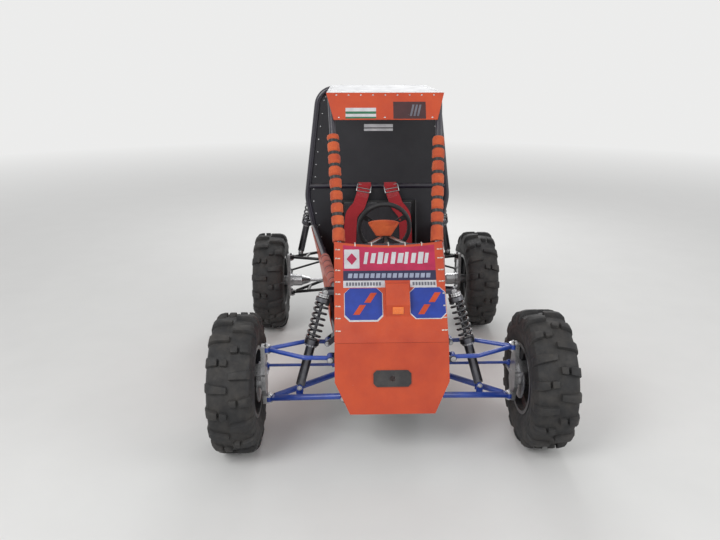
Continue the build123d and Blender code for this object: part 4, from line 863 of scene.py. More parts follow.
# columns: name, material, then the shapes of the film, each on its sheet
films = [
    ("sticker_panel", magentaFilm, [onBonnet(archedBox(-0.211, 0.213, 0.336, 0.4485, 0.0145))]),
    ("sticker_band", navyFilm, [onBonnet(box2d(-0.211, 0.213, 0.288, 0.3355), 1, 0.001)]),
    ("sticker_white", whiteFilm, [
        onBonnet(box2d(-0.211, -0.022, 0.254, 0.2875), 1, 0.001),
        onBonnet(box2d(0.093, 0.213, 0.254, 0.2875), 1, 0.001),
        onBonnet(box2d(-0.206, -0.136, 0.346, 0.440), 2, 0.004),
    ] + [onBonnet(box2d(x, x + wide, low, high, 0, 0.009), 2) for x, wide, low, high in stickerBars]),
    ("sticker_badge", magentaFilm, [
        onBonnet([(-0.171, 0.364), (-0.147, 0.393), (-0.171, 0.422), (-0.195, 0.393)], 3, 0.003)]),
    ("band_dashes", paleBlueFilm, [
        onBonnet(box2d(x, x + 0.0185, 0.300, 0.322, 0, 0.003), 2) for x in bandDashes]),
    ("strip_dashes", greyFilm, [onBonnet(box2d(x, x + 0.009, 0.263, 0.279), 2) for x in dashes]),
    ("number_edge", whiteFilm, [
        onBonnet(box2d(-0.208, -0.034, 0.094, 0.250, 0.024)),
        onBonnet(box2d(0.087, 0.250, 0.104, 0.254, 0.024))]),
    ("number_block", blueFilm, [
        onBonnet(box2d(-0.205, -0.037, 0.102, 0.251, 0.024), 2),
        onBonnet(box2d(0.090, 0.248, 0.108, 0.252, 0.024), 2)]),
    ("number_bars", orangeFilm, [
        onBonnet(box2d(x + shift, x + shift + 0.028, y, y + 0.046, 0, 0.030), 3)
        for x in (-0.168, 0.122) for shift, y in ((0.0, 0.126), (0.050, 0.182))]),
    ("visor_white", whiteFilm, [
        onVisor(box2d(-0.193, -0.046, -0.084, -0.066)), onVisor(box2d(-0.193, -0.046, -0.111, -0.0965)),
        onWall(box2d(-0.081, 0.088, 1.353, 1.372)), onWall(box2d(-0.081, 0.088, 1.333, 1.347))]),
    ("visor_green", greenFilm, [
        onVisor(box2d(-0.193, -0.046, -0.096, -0.0845)), onVisor(box2d(-0.193, -0.046, -0.120, -0.1115))]),
    ("visor_dark", darkFilm, [onVisor(box2d(0.037, 0.194, -0.122, -0.035))]),
    ("visor_ring", greyFilm, [
        onVisor(box2d(0.116 + 0.017 * k, 0.126 + 0.017 * k, -0.108, -0.050, 0, 0.014), 2) for k in range(3)]),
]
for name, film, shapes in films:
    pieces = [filmOn(*shape) for shape in shapes]
    finished(joined(pieces, name), name, "chassis", film, 30)


# cable ties that hold the front sheets on the tubes

tie = {
    "loop": 0.0188, "band": 0.0050, "thick": 0.0014, "head": (0.0080, 0.0085, 0.0062),
    "tail": (0.0022, 0.011, 0.0042), "sideX": 0.2300, "lean": 0.55, "topEdge": 0.4625,
    "upSide": (0.052, 0.110, 0.166, 0.224, 0.282, 0.338, 0.396, 0.440),
    "across": (-0.155, -0.078, 0.0, 0.078, 0.155),
}


def cableTie():
    # a band round a tube along Z, its head lying on the sheet at -Y
    loop, half = tie["loop"], tie["band"] / 2
    band = bandAboutX(-half, half, loop, loop + tie["thick"], 28)
    place(band, Matrix.Rotation(-math.pi / 2, 4, "Y"))
    head = brick(tie["head"], (0, -loop - 0.003, 0), 0.0009)
    tail = brick(tie["tail"], (0.003, -loop - 0.0075, 0.0002), 0.0006)
    return joined([band, head, tail], "tie")


firstTie = cableTie()
ties = []
for v in tie["upSide"]:
    for sign in (-1, 1):
        lean = Matrix.Rotation(sign * tie["lean"], 4, "Y") @ Matrix.Rotation(-math.pi / 2, 4, "X")
        spot = Matrix.Translation((sign * tie["sideX"], v, 0.0))
        ties.append(copyOf(firstTie, bonnetSheet @ spot @ lean))
across = Matrix.Rotation(math.pi / 2, 4, "X") @ Matrix.Rotation(math.pi / 2, 4, "Y")
for x in tie["across"]:
    ties.append(copyOf(firstTie, bonnetSheet @ Matrix.Translation((x, tie["topEdge"], 0.0)) @ across))
finished(joined(ties, "panel_ties"), "panel_ties", "chassis", tieWhite)
bpy.data.objects.remove(firstTie)
print("bonnet dressed")


# coil springs: a round wire screwed into a helix, its end turns drawn close

coil = {
    "radius": 0.0293, "wire": 0.0056, "turns": 7, "closed": 0.75, "closedPitch": 2.2,
    "low": 0.500, "high": 0.890, "sides": 12, "steps": 28,
}
damperEnds = [
    (Vector((0.415, -0.732, 0.290)), Vector((0.292, -0.642, 0.722))),
    (Vector((0.490, 0.732, 0.517)), Vector((0.380, 0.571, 0.988))),
]


def springWire(length):
    turns, closed = coil["turns"], coil["closed"]
    pitch = (length - 2 * coil["wire"]) / turns
    bpy.ops.mesh.primitive_circle_add(vertices=coil["sides"], radius=coil["wire"], fill_type="NOTHING")
    obj = bpy.context.object
    place(obj, Matrix.Translation((coil["radius"], 0, 0)) @ Matrix.Rotation(math.pi / 2, 4, "X"))
    screw = obj.modifiers.new("helix", "SCREW")
    screw.screw_offset = pitch
    screw.iterations = turns
    screw.steps = coil["steps"]
    screw.render_steps = coil["steps"]
    screw.use_merge_vertices = False
    screw.use_smooth_shade = True
    applyAll(obj)
    closedPitch = coil["closedPitch"] * coil["wire"]
    openPitch = (length - 2 * coil["wire"] - 2 * closed * closedPitch) / (turns - 2 * closed)
    for vertex in obj.data.vertices:
        angle = math.atan2(vertex.co.y, vertex.co.x) % math.tau
        middle = round(vertex.co.z / pitch - angle / math.tau) + angle / math.tau
        offset = vertex.co.z - middle * pitch
        first = min(middle, closed) * closedPitch
        main = max(0.0, min(middle, turns - closed) - closed) * openPitch
        last = max(0.0, middle - (turns - closed)) * closedPitch
        vertex.co.z = coil["wire"] + first + main + last + offset
    editAll(obj)
    bpy.ops.mesh.fill_holes(sides=0)
    bpy.ops.mesh.normals_make_consistent(inside=False)
    done()
    return obj


coils = []
for low, high in damperEnds:
    foot, head = low.lerp(high, coil["low"]), low.lerp(high, coil["high"])
    wire = springWire((head - foot).length)
    for sign in (1, -1):
        coils.append(copyOf(wire, mirrored(sign) @ aimed(foot, head - foot)))
    bpy.data.objects.remove(wire)
springs = joined(coils, "spring_wire")
finished(springs, "spring_wire", "chassis", springPaint, 60, ("coil_springs",))

# notched collars, two by two, below and above each spring
collar = {
    "radius": 0.0285, "height": 0.008, "gap": 0.0012, "notches": 16, "depth": 0.06, "places": (0.437, 0.945),
}


def damperCollar():
    parts = []
    for low in (0.0, collar["height"] + collar["gap"]):
        bpy.ops.mesh.primitive_cylinder_add(
            vertices=collar["notches"] * 4, radius=collar["radius"], depth=collar["height"])
        ring = place(bpy.context.object, Matrix.Translation((0, 0, low)))
        knurled(ring, collar["notches"], collar["depth"])
        parts.append(bevelAll(ring, 0.0006, 1))
    return joined(parts, "collar")


collars = []
ring = damperCollar()
for low, high in damperEnds:
    for sign in (1, -1):
        for share in collar["places"]:
            spot = low.lerp(high, share)
            collars.append(copyOf(ring, mirrored(sign) @ aimed(spot, high - spot)))
bpy.data.objects.remove(ring)
finished(joined(collars, "damper_collars"), "damper_collars", "chassis", machined)
print("springs made")


# bolts and nuts, modelled once and copied to every bracket, damper end and ball joint

boltSize = {
    "head": 0.0092, "height": 0.0060, "washer": 0.0118, "washerHeight": 0.0016,
    "thread": 0.0048, "stub": 0.0055, "armHalf": 0.0283, "damperHalf": 0.0193, "jointHalf": 0.0175,
}


def hexBolt(nut):
    # points along +Z from the face that it sits on
    parts = [roundBar((0, 0, -0.001), (0, 0, boltSize["washerHeight"]), boltSize["washer"], 24, 0.0004)]
    top = boltSize["washerHeight"] + boltSize["height"]
    parts.append(roundBar((0, 0, 0.001), (0, 0, top), boltSize["head"], 6, 0.0009))
    if nut:
        parts.append(roundBar((0, 0, 0.002), (0, 0, top + boltSize["stub"]), boltSize["thread"], 16, 0.0007))
    else:
        parts.append(roundBar((0, 0, 0.002), (0, 0, top + 0.0006), boltSize["head"] * 0.62, 20, 0.0003))
    return joined(parts, "bolt")


def throughBolt(spot, half):
    # a bolt and its nut, on the two faces of a bracket that lies across Y
    x, y, z = spot
    head = copyOf(bolt, aimed((x, y - half, z), (0, -1, 0)))
    return [head, copyOf(nut, aimed((x, y + half, z), (0, 1, 0)))]


bolt, nut = hexBolt(False), hexBolt(True)
armPivots = [
    (0.2164, -0.827, 0.288), (0.2366, -0.597, 0.288), (0.272, -0.8057, 0.466), (0.286, -0.632, 0.468),
    (0.3283, 0.618, 0.494), (0.2712, 0.858, 0.494), (0.2986, 0.618, 0.2917), (0.2619, 0.858, 0.3042),
]
ballJoints = [(x, y, z) for x, y in ((0.560, -0.732), (0.555, 0.732)) for z in (0.231, 0.479)]
throughSpots = [(spot, boltSize["armHalf"]) for spot in armPivots]
throughSpots += [(end, boltSize["damperHalf"]) for ends in damperEnds for end in ends]
fasteners = []
for (x, y, z), half in throughSpots:
    for sign in (1, -1):
        fasteners += throughBolt((sign * x, y, z), half)
for x, y, z in ballJoints:
    for sign in (1, -1):
        for up, source in ((1, nut), (-1, bolt)):
            spot = (sign * x, y, z + up * boltSize["jointHalf"])
            fasteners.append(copyOf(source, aimed(spot, (0, 0, up), 0.92)))
finished(joined(fasteners, "bracket_bolts"), "bracket_bolts", "chassis", machined)
print("bolts made")


# small fasteners that are seated on the solids by a ray

solidTrees = {}


def spotOn(name, start, aim):
    # the first place on a solid along a ray, and the way its surface looks there
    if name not in solidTrees:
        solidTrees[name] = treeOf(nodes[name])
    spot, normal, face, distance = solidTrees[name].ray_cast(Vector(start), Vector(aim).normalized())
    return spot, normal


rivetSize = {"radius": 0.0042, "height": 0.0020, "inset": 0.013, "pitch": 0.062}


def rivetHead():
    bpy.ops.mesh.primitive_uv_sphere_add(segments=12, ring_count=8, radius=1)
    obj = bpy.context.object
    obj.scale = (rivetSize["radius"], rivetSize["radius"], rivetSize["height"])
    freeze(obj)
    return cutOff(obj, (0, 0, -0.0003), (0, 0, -1))


def rivetRow(name, starts, aim):
    heads = []
    for start in starts:
        spot, normal = spotOn(name, start, aim)
        if spot is not None and normal.dot(Vector(aim)) < -0.4:
            heads.append(copyOf(rivet, aimed(spot, normal)))
    return heads


def steps(low, high, pitch):
    count = max(1, round((high - low) / pitch))
    return [low + (high - low) * step / count for step in range(count + 1)]


def edgeRivets(name, aim, columns, rows, column):
    # looks along each column for the first and the last place on the sheet, and sits a rivet inside each
    heads = []
    for value in columns:
        hits = []
        for row in rows:
            spot, normal = spotOn(name, column(value, row), aim)
            if spot is not None:
                hits.append(row)
        if len(hits) > 8:
            for row in (min(hits) + rivetSize["inset"], max(hits) - rivetSize["inset"]):
                heads += rivetRow(name, [column(value, row)], aim)
    return heads


rivet = rivetHead()
down, forward, back = (0, 0, -1), (0, -1, 0), (0, 1, 0)
pitch, edge = rivetSize["pitch"], rivetSize["inset"]
roofLow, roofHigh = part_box("roof_panel")
rowX = steps(roofLow[0] + edge, roofHigh[0] - edge, pitch)
rowY = steps(roofLow[1] + edge, roofHigh[1] - edge, pitch)
rivets = rivetRow("roof_panel", [(x, y, 2.0) for x in rowX for y in (rowY[0], rowY[-1])], down)
rivets += edgeRivets("roof_panel", down, rowY[1:-1], steps(-0.36, 0.36, 0.004), lambda y, x: (x, y, 2.0))
visorOut = visorSheet.to_3x3() @ Vector((0, 0, 1))
visorRivets = [(x, 0.0) for x in steps(-0.236, 0.236, pitch)] + [(x, -0.114) for x in (-0.225, -0.004, 0.225)]
rivets += rivetRow("visor_panel", [visorSheet @ Vector((x, v, 0.2)) for x, v in visorRivets], -visorOut)
wallLow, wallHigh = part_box("firewall")
wallRows = steps(wallLow[2], wallHigh[2], 0.006)
wallColumns = steps(wallLow[2] + 0.05, wallHigh[2] - 0.05, 0.075)
wallAcross = steps(wallLow[0], wallHigh[0], 0.006)
rivets += edgeRivets("firewall", back, steps(-0.30, 0.30, pitch), wallRows, lambda x, z: (x, 0.0, z))
rivets += edgeRivets("firewall", forward, wallColumns, wallAcross, lambda z, x: (x, 1.2, z))
rivets += edgeRivets("firewall", back, wallColumns, wallAcross, lambda z, x: (x, 0.0, z))
sideLow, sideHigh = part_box("side_panels")
sideRows = steps(sideLow[2], sideHigh[2], 0.006)
sideColumns = steps(sideLow[1] + 0.03, sideHigh[1] - 0.03, 0.080)
for sign in (1, -1):
    rivets += edgeRivets("side_panels", (-sign, 0, 0), sideColumns, sideRows, lambda y, z: (sign * 1.0, y, z))
finished(joined(rivets, "panel_rivets"), "panel_rivets", "chassis", machined)
bpy.data.objects.remove(rivet)
print("rivets made:", len(rivets))


# amber plate with ribs, made as a reflector, on the front face of the bonnet's hatch; its bright amber is a
# painted highlight

highlightPlate = {"x": 0.032, "v": 0.140, "size": (0.050, 0.034, 0.0050), "ribs": 7}
sheetUp, sheetOut = (bonnetSheet.to_3x3() @ Vector(axis) for axis in ((0, 1, 0), (0, 0, 1)))
above = bonnetSheet @ Vector((highlightPlate["x"], highlightPlate["v"], 0.3))
spot, normal = spotOn("front_panels", above, -sheetOut)
wide, tall, deep = highlightPlate["size"]
# the plate's bright amber stands for a highlight patch on the hatch: a painted highlight
highlightParts = [brick((wide, tall, deep), (0, 0, deep / 2), 0.0022)]
for step in range(highlightPlate["ribs"]):
    x = wide * 0.84 * (step / (highlightPlate["ribs"] - 1) - 0.5)
    highlightParts.append(brick((0.0030, tall * 0.80, 0.0018), (x, 0, deep + 0.0002), 0.0006))
up = sheetUp.cross(normal).cross(normal) * -1
side = up.cross(normal)
turn = Matrix((side.normalized(), up.normalized(), normal)).transposed().to_4x4()
piece = place(joined(highlightParts, "lens"), Matrix.Translation(spot) @ turn)
finished(piece, "hatch_highlight_plate", "chassis", amberHighlight, 30)
print("reflector made at", spot)


# seat pads: the solids remeshed, blown up as cloth, smoothed, then sewn

seatPad = {
    "voxel": 0.006, "pressure": 4.0, "frames": 20, "cap": 0.010, "shrink": 0.004,
    "channel": 0.072, "seam": 0.0045, "depth": 0.0038, "sewnTo": 2.6,
}


def swollen(source):
    pad = source.copy()
    pad.data = source.data.copy()
    pad.parent = None
    bpy.context.scene.collection.objects.link(pad)
    editAll(pad)
    bpy.ops.mesh.remove_doubles(threshold=0.0001)
    done()
    thin = pad.modifiers.new("thin", "DISPLACE")
    thin.strength = -seatPad["shrink"]
    thin.mid_level = 0.0
    remesh = pad.modifiers.new("remesh", "REMESH")
    remesh.mode = "VOXEL"
    remesh.voxel_size = seatPad["voxel"]
    applyAll(pad)
    start = [vertex.co.copy() for vertex in pad.data.vertices]
    blown = pad.modifiers.new("cloth", "CLOTH")
    blown.settings.use_pressure = True
    blown.settings.uniform_pressure_force = seatPad["pressure"]
    blown.settings.effector_weights.gravity = 0.0
    blown.settings.quality = 5
    blown.point_cache.frame_end = seatPad["frames"]
    for number in range(1, seatPad["frames"] + 1):
        bpy.context.scene.frame_set(number)
    applyAll(pad)
    bpy.context.scene.frame_set(1)
    for vertex, was in zip(pad.data.vertices, start):
        move = vertex.co - was
        if move.length > seatPad["cap"]:
            vertex.co = was + move * (seatPad["cap"] / move.length)
    even = pad.modifiers.new("even", "SMOOTH")
    even.factor = 0.5
    even.iterations = 4
    finer = pad.modifiers.new("finer", "SUBSURF")
    finer.levels = finer.render_levels = 1
    applyAll(pad)
    return pad


def sewn(pad):
    # channels pressed into the faces that carry the driver, straight down the back and along the base
    looks = [vertex.normal.copy() for vertex in pad.data.vertices]
    for vertex, normal in zip(pad.data.vertices, looks):
        carries = normal.y < -0.6 or normal.z > 0.6
        if carries and abs(vertex.co.x) < seatPad["channel"] * seatPad["sewnTo"]:
            across = abs(vertex.co.x) % seatPad["channel"]
            near = min(across, seatPad["channel"] - across)
            vertex.co -= normal * (math.exp(-((near / seatPad["seam"]) ** 2)) * seatPad["depth"])
    return pad


seatCover = sewn(swollen(nodes["seat_pads"]))
for key in list(seatCover.keys()):
    del seatCover[key]
finished(seatCover, "seat_cover", "chassis", seatCloth, 60, ("seat_pads",))
coverTree = treeOf(seatCover)
print("seat pads made")


# harness: webbing on the pads, sewn ends, slide adjusters and the latch

belt = {
    "wide": 0.074, "lapWide": 0.050, "thick": 0.0030, "lift": 0.0026, "lanes": 8,
    "pathSteps": 5, "lapSteps": 6, "sewnAt": (46, 78), "adjusterAt": 43, "lapLevel": 0.42,
}
shoulderBar = {"y": 0.433, "z": 1.010, "loop": 0.0169, "from": -340, "to": -95, "steps": 8}
latch = {
    "y": 0.152, "low": 0.3305, "lift": 0.007, "body": (0.062, 0.048, 0.011), "button": 0.015,
    "buttonHeight": 0.0085, "tongue": (0.030, 0.034, 0.0030), "tongueX": 0.040,
}


def smoothPath(points, count):
    # a smooth line through the points, with so many steps between neighbours
    points = [Vector(point) for point in points]
    ends = [2 * points[0] - points[1]] + points + [2 * points[-1] - points[-2]]
    line = []
    for a, b, c, d in zip(ends, ends[1:], ends[2:], ends[3:]):
        for step in range(count):
            t = step / count
            squared = (2 * a - 5 * b + 4 * c - d) * t * t
            bend = 2 * b + (c - a) * t + squared + (3 * b - a - 3 * c + d) * t ** 3
            line.append(bend * 0.5)
    return line + [points[-1]]


def webbing(line, sides, wide, thick):
    # a strip along the line, sides gives the direction of its width at each point
    count, lanes = len(line), belt["lanes"]
    bpy.ops.mesh.primitive_grid_add(x_subdivisions=count - 1, y_subdivisions=lanes, size=1)
    obj = bpy.context.object
    for vertex in obj.data.vertices:
        index = round((vertex.co.x + 0.5) * (count - 1))
        share = vertex.co.y
        vertex.co = line[index] + sides[index] * (share * wide)
    solid = obj.modifiers.new("thickness", "SOLIDIFY")
    solid.thickness = thick
    solid.offset = 0.0
    edge = obj.modifiers.new("edge", "BEVEL")
    edge.width = thick * 0.35
    edge.segments = 2
    edge.limit_method = "ANGLE"
    edge.angle_limit = math.radians(50)
    applyAll(obj)
    return obj


def stitches(spot, along, across, out, wide, rows=4):
    # rows of stitches across a belt, as where its folded end is sewn
    parts = []
    turn = Matrix((across, along, out)).transposed().to_4x4()
    for row in range(rows):
        for step in range(9):
            middle = spot + along * (row - (rows - 1) / 2) * 0.008 + across * (wide * 0.78 * (step / 8 - 0.5))
            parts.append(copyOf(stitch, Matrix.Translation(middle + out * 0.0019) @ turn))
    return parts


def slideAdjuster(wide):
    # a bent steel frame with two slots and a middle bar, in X and Y, its face to +Z
    bars = []
    half = wide / 2 + 0.004
    for y in (-0.022, 0.0, 0.022):
        bars.append(roundBar((-half, y, 0.0035), (half, y, 0.0035), 0.0032, 16))
    for x in (-half, half):
        bars.append(roundBar((x, -0.0235, 0.0035), (x, 0.0235, 0.0035), 0.0034, 16, 0.0012))
    return joined(bars, "adjuster")


def runAt(line, index):
    return (line[min(index + 1, len(line) - 1)] - line[max(index - 1, 0)]).normalized()


def coverSpot(start, aim):
    # where a ray meets the seat cover
    return coverTree.ray_cast(Vector(start), Vector(aim))[0]


def barLoop():
    # the belt's turn round the shoulder bar, seen along X
    loop = []
    for step in range(shoulderBar["steps"] + 1):
        share = step / shoulderBar["steps"]
        degrees = shoulderBar["from"] + (shoulderBar["to"] - shoulderBar["from"]) * share
        angle = math.radians(degrees) + math.pi
        y = shoulderBar["y"] - shoulderBar["loop"] * math.cos(angle)
        z = shoulderBar["z"] + shoulderBar["loop"] * math.sin(angle)
        loop.append((0.072 + 0.005 * share, y, z))
    return loop


def shoulderSides(line, onBar):
    # across X on the bar, then square to the back and to the base of the seat
    sides = []
    for index, point in enumerate(line):
        out = Vector((0, -1, 0.12)) if point.z > belt["lapLevel"] else Vector((0, -0.5, 1))
        side = Vector((1, 0, 0)) if index <= onBar else runAt(line, index).cross(out).normalized()
        sides.append(side if side.x > 0 else -side)
    last = len(sides) - 1
    for turn in range(3):
        sides = [
            (sides[max(i - 1, 0)] + sides[i] + sides[min(i + 1, last)]).normalized() for i in range(last + 1)]
    return sides


def laidOnBack(line, sides, onBar):
    for index, point in enumerate(line):
        if 0.46 < point.z < 0.955 and index > onBar:
            reach = point.y
            for share in (-0.5, -0.25, 0, 0.25, 0.5):
                at = point + sides[index] * belt["wide"] * share
                spot = coverSpot((at.x, -0.6, at.z), (0, 1, 0))
                if spot is not None:
                    reach = min(reach, spot.y - belt["lift"])
            point.y = reach


def laidOnBase(line, sides):
    for point, side in zip(line, sides):
        top = point.z
        for share in (-0.5, 0, 0.5):
            at = point + side * belt["lapWide"] * share
            spot = coverSpot((at.x, at.y, 0.50), (0, 0, -1))
            if spot is not None and spot.z < 0.36:
                top = max(top, spot.z + belt["lift"])
        point.z = top


def beltFrame(line, sides, index):
    # along, across and out of the belt at one of its points
    along = runAt(line, index)
    out = sides[index].cross(along).normalized()
    return along, sides[index], out if out.y < 0 else -out


shoulderPoints = barLoop() + [
    (0.088, 0.3950, 0.972), (0.104, 0.3640, 0.9299), (0.116, 0.3610, 0.902), (0.142, 0.3585, 0.872),
    (0.160, 0.3540, 0.830), (0.168, 0.3390, 0.700), (0.169, 0.3250, 0.580), (0.160, 0.3080, 0.470),
    (0.122, 0.2660, 0.395), (0.062, 0.1980, 0.350), (0.034, 0.1640, 0.336),
]
lapPoints = [
    (0.214, 0.236, 0.322), (0.190, 0.218, 0.318), (0.130, 0.194, 0.318), (0.075, 0.173, 0.319),
    (0.024, 0.154, 0.322),
]
onBar = shoulderBar["steps"] * belt["pathSteps"]
stitch = brick((0.0044, 0.0010, 0.0010), (0, 0, 0), 0.0003, 1)
beltParts, stitchParts, steelParts = [], [], []
for sign in (1, -1):
    path = smoothPath(shoulderPoints, belt["pathSteps"])
    line = [Vector((point.x * sign, point.y, point.z)) for point in path]
    sides = shoulderSides(line, onBar)
    laidOnBack(line, sides, onBar)
    beltParts.append(webbing(line, sides, belt["wide"], belt["thick"]))
    for index in belt["sewnAt"]:
        along, across, out = beltFrame(line, sides, index)
        stitchParts += stitches(line[index], along, across, out, belt["wide"])
    along, across, out = beltFrame(line, sides, belt["adjusterAt"])
    turn = Matrix((across, out.cross(across), out)).transposed().to_4x4()
    spot = line[belt["adjusterAt"]] + out * 0.0005
    steelParts.append(place(slideAdjuster(belt["wide"]), Matrix.Translation(spot) @ turn))
for sign in (1, -1):
    path = smoothPath(lapPoints, belt["lapSteps"])
    line = [Vector((point.x * sign, point.y, point.z)) for point in path]
    sides = [runAt(line, index).cross(Vector((0, 0, 1))).normalized() for index in range(len(line))]
    laidOnBase(line, sides)
    beltParts.append(webbing(line, sides, belt["lapWide"], belt["thick"]))
piece = joined(beltParts, "harness_webbing")
finished(piece, "harness_webbing", "chassis", beltCloth, 40, ("harness",))
finished(joined(stitchParts, "harness_stitches"), "harness_stitches", "chassis", threadPale)
bpy.data.objects.remove(stitch)

# the latch sits on the highest place of the seat cover below it
underLatch = [coverSpot((x, latch["y"], 0.50), (0, 0, -1)) for x in (-0.025, 0, 0.025)]
latchTop = max([latch["low"]] + [spot.z + latch["lift"] for spot in underLatch if spot is not None])
button = (0, latch["y"], latchTop + latch["buttonHeight"])
steelParts.append(brick(latch["body"], (0, latch["y"], latchTop), 0.004, 3))
steelParts.append(roundBar((0, latch["y"], latchTop), button, latch["button"], 32, 0.0015))
for sign in (-1, 1):
    spot = (sign * latch["tongueX"], latch["y"] + 0.001, latchTop - 0.001)
    steelParts.append(brick(latch["tongue"], spot, 0.0010))
finished(joined(steelParts, "harness_steel"), "harness_steel", "chassis", machined)
print("harness made")


# foam block in front of the steering column, with a dent at each upper corner and one between them

dashFoam = {
    "middle": -0.012, "back": -0.3465, "thick": 0.0150, "topHalf": 0.0765, "lowHalf": 0.0360,
    "top": 0.968, "low": 0.9035, "crown": 0.984, "arcSteps": 10,
}
# columns: x, height, depth, reach across and reach up of each dent
dashDents = [
    (0.022, 0.955, 0.0022, 0.014, 0.006),
    (-0.060, 0.9655, 0.0045, 0.006, 0.012), (0.060, 0.9655, 0.0045, 0.006, 0.012),
]


def dashBlock():
    half, top, rise = dashFoam["topHalf"], dashFoam["top"], dashFoam["crown"] - dashFoam["top"]
    angles = [math.pi * step / dashFoam["arcSteps"] for step in range(dashFoam["arcSteps"] + 1)]
    upper = [(half * math.cos(angle), top + rise * math.sin(angle)) for angle in angles]
    corners = [(-dashFoam["lowHalf"], dashFoam["low"]), (dashFoam["lowHalf"], dashFoam["low"])] + upper
    block = flatPlate(corners, dashFoam["thick"])
    bevelAll(block, 0.0045, 3, 40)
    finer = block.modifiers.new("even", "REMESH")
    finer.mode = "VOXEL"
    finer.voxel_size = 0.0022
    even = block.modifiers.new("soft", "SMOOTH")
    even.factor = 0.5
    even.iterations = 3
    applyAll(block)
    for vertex in block.data.vertices:
        dent = 0.0
        for x, y, depth, wide, tall in dashDents:
            dent += depth * math.exp(-(((vertex.co.x - x) / wide) ** 2) - (((vertex.co.y - y) / tall) ** 2))
        vertex.co.z -= dent * (1 if vertex.co.z > dashFoam["thick"] / 2 else -0.6)
    turn = Matrix(((1, 0, 0), (0, 0, -1), (0, 1, 0))).to_4x4()
    return place(block, Matrix.Translation((dashFoam["middle"], dashFoam["back"], 0)) @ turn)


piece = finished(dashBlock(), "dash_foam", "chassis", padFoam, 60, ("dash_panel",))
print("dash foam made")


# steering wheel: wrapped grip, pierced spokes, hub with its bolts, and the shaft behind it

wheelForm = {
    "place": (0, -0.227, 0.915), "run": (0, 0.97815, 0.20791), "radius": 0.127, "grip": 0.0130,
    "spokes": (90, 210, 330), "spokeWide": 0.030, "spokeThick": 0.0040,
    "holes": ((0.046, 0.0075), (0.069, 0.0062), (0.090, 0.0052)),
    "hub": 0.026, "boltCircle": 0.0190, "bolts": 6,
    "joint": (0, -0.40698, 0.87674), "ball": 0.0150, "shaft": 0.0100, "rings": (0.060, 0.124), "ring": 0.0155,
}


def steerTurn():
    run = Vector(wheelForm["run"])
    down = run.cross(Vector((1, 0, 0)))
    turn = Matrix((Vector((1, 0, 0)), down, run)).transposed().to_4x4()
    return Matrix.Translation(wheelForm["place"]) @ turn


def wheelGrip():
    radius, grip = wheelForm["radius"], wheelForm["grip"]
    bpy.ops.mesh.primitive_torus_add(
        major_segments=144, minor_segments=22, major_radius=radius, minor_radius=grip)
    obj = bpy.context.object
    for vertex in obj.data.vertices:
        around = math.atan2(vertex.co.y, vertex.co.x)
        outward = Vector((math.cos(around), math.sin(around), 0))
        away = (vertex.co - outward * radius).normalized()
        facing = away.dot(outward)
        bumps = 0.0012 * max(0.0, -facing) * math.cos(around * 36)
        seam = 0.0011 * math.exp(-(((facing + 0.98) / 0.05) ** 2))
        turns = [math.remainder(around - math.radians(spoke), math.tau) for spoke in wheelForm["spokes"]]
        joints = 0.0011 * sum(math.exp(-((turn / 0.018) ** 2)) for turn in turns)
        vertex.co = outward * radius + away * (grip - 0.0012 + bumps - seam - joints)
    return obj


def wheelSpoke():
    # one spoke along +Y, with three holes that get smaller outwards
    half, outer = wheelForm["spokeWide"] / 2, wheelForm["radius"] - wheelForm["grip"] + 0.006
    waist, waistY = half * 0.72, outer * 0.6
    corners = [
        (-half, 0.012), (half, 0.012), (waist, waistY), (half, outer), (-half, outer), (-waist, waistY),
    ]
    plate = flatPlate(corners, wheelForm["spokeThick"])
    for y, radius in wheelForm["holes"]:
        hole = roundBar((0, y, -0.01), (0, y, 0.02), radius, 24)
        cut = plate.modifiers.new("hole", "BOOLEAN")
        cut.object = hole
        cut.solver = "EXACT"
        applyAll(plate)
        bpy.data.objects.remove(hole)
    return bevelAll(plate, 0.0006, 1, 40)


def wheelFace():
    # spokes, hub, hub cap and bolts, flat in X and Y
    spoke = wheelSpoke()
    parts = []
    for angle in wheelForm["spokes"]:
        turn = Matrix.Rotation(math.radians(angle - 90), 4, "Z")
        parts.append(copyOf(spoke, turn @ Matrix.Translation((0, 0, -0.006))))
    bpy.data.objects.remove(spoke)
    parts.append(roundBar((0, 0, -0.0135), (0, 0, 0.0060), wheelForm["hub"], 48, 0.002))
    parts.append(roundBar((0, 0, -0.0140), (0, 0, -0.0180), 0.0135, 36, 0.001))
    for step in range(wheelForm["bolts"]):
        angle = math.tau * step / wheelForm["bolts"]
        x, y = wheelForm["boltCircle"] * math.cos(angle), wheelForm["boltCircle"] * math.sin(angle)
        parts.append(copyOf(bolt, aimed((x, y, -0.0130), (0, 0, -1), 0.42)))
    return parts


steelParts = [place(part, steerTurn()) for part in wheelFace()]
centre, run, joint = Vector(wheelForm["place"]), Vector(wheelForm["run"]), Vector(wheelForm["joint"])
steelParts.append(roundBar(centre - run * 0.004, joint, wheelForm["shaft"], 32))
bpy.ops.mesh.primitive_uv_sphere_add(segments=28, ring_count=16, radius=wheelForm["ball"] - 0.0002)
steelParts.append(place(bpy.context.object, Matrix.Translation(joint)))
for reach in wheelForm["rings"]:
    spot = centre - run * reach
    steelParts.append(roundBar(spot, spot - run * 0.006, wheelForm["ring"], 32, 0.001))
gone = ("steering_wheel",)
wheelSteel = joined(steelParts, "wheel_steel")
finished(wheelSteel, "steering_wheel_steel", "steering_wheel", darkSteel, 35, gone)
wheelRubber = place(wheelGrip(), steerTurn())
finished(wheelRubber, "steering_wheel_grip", "steering_wheel", gripRubber, 60, gone)
print("steering wheel made")


# engine dressing: tank straps and cap, muffler shield, cover bolts

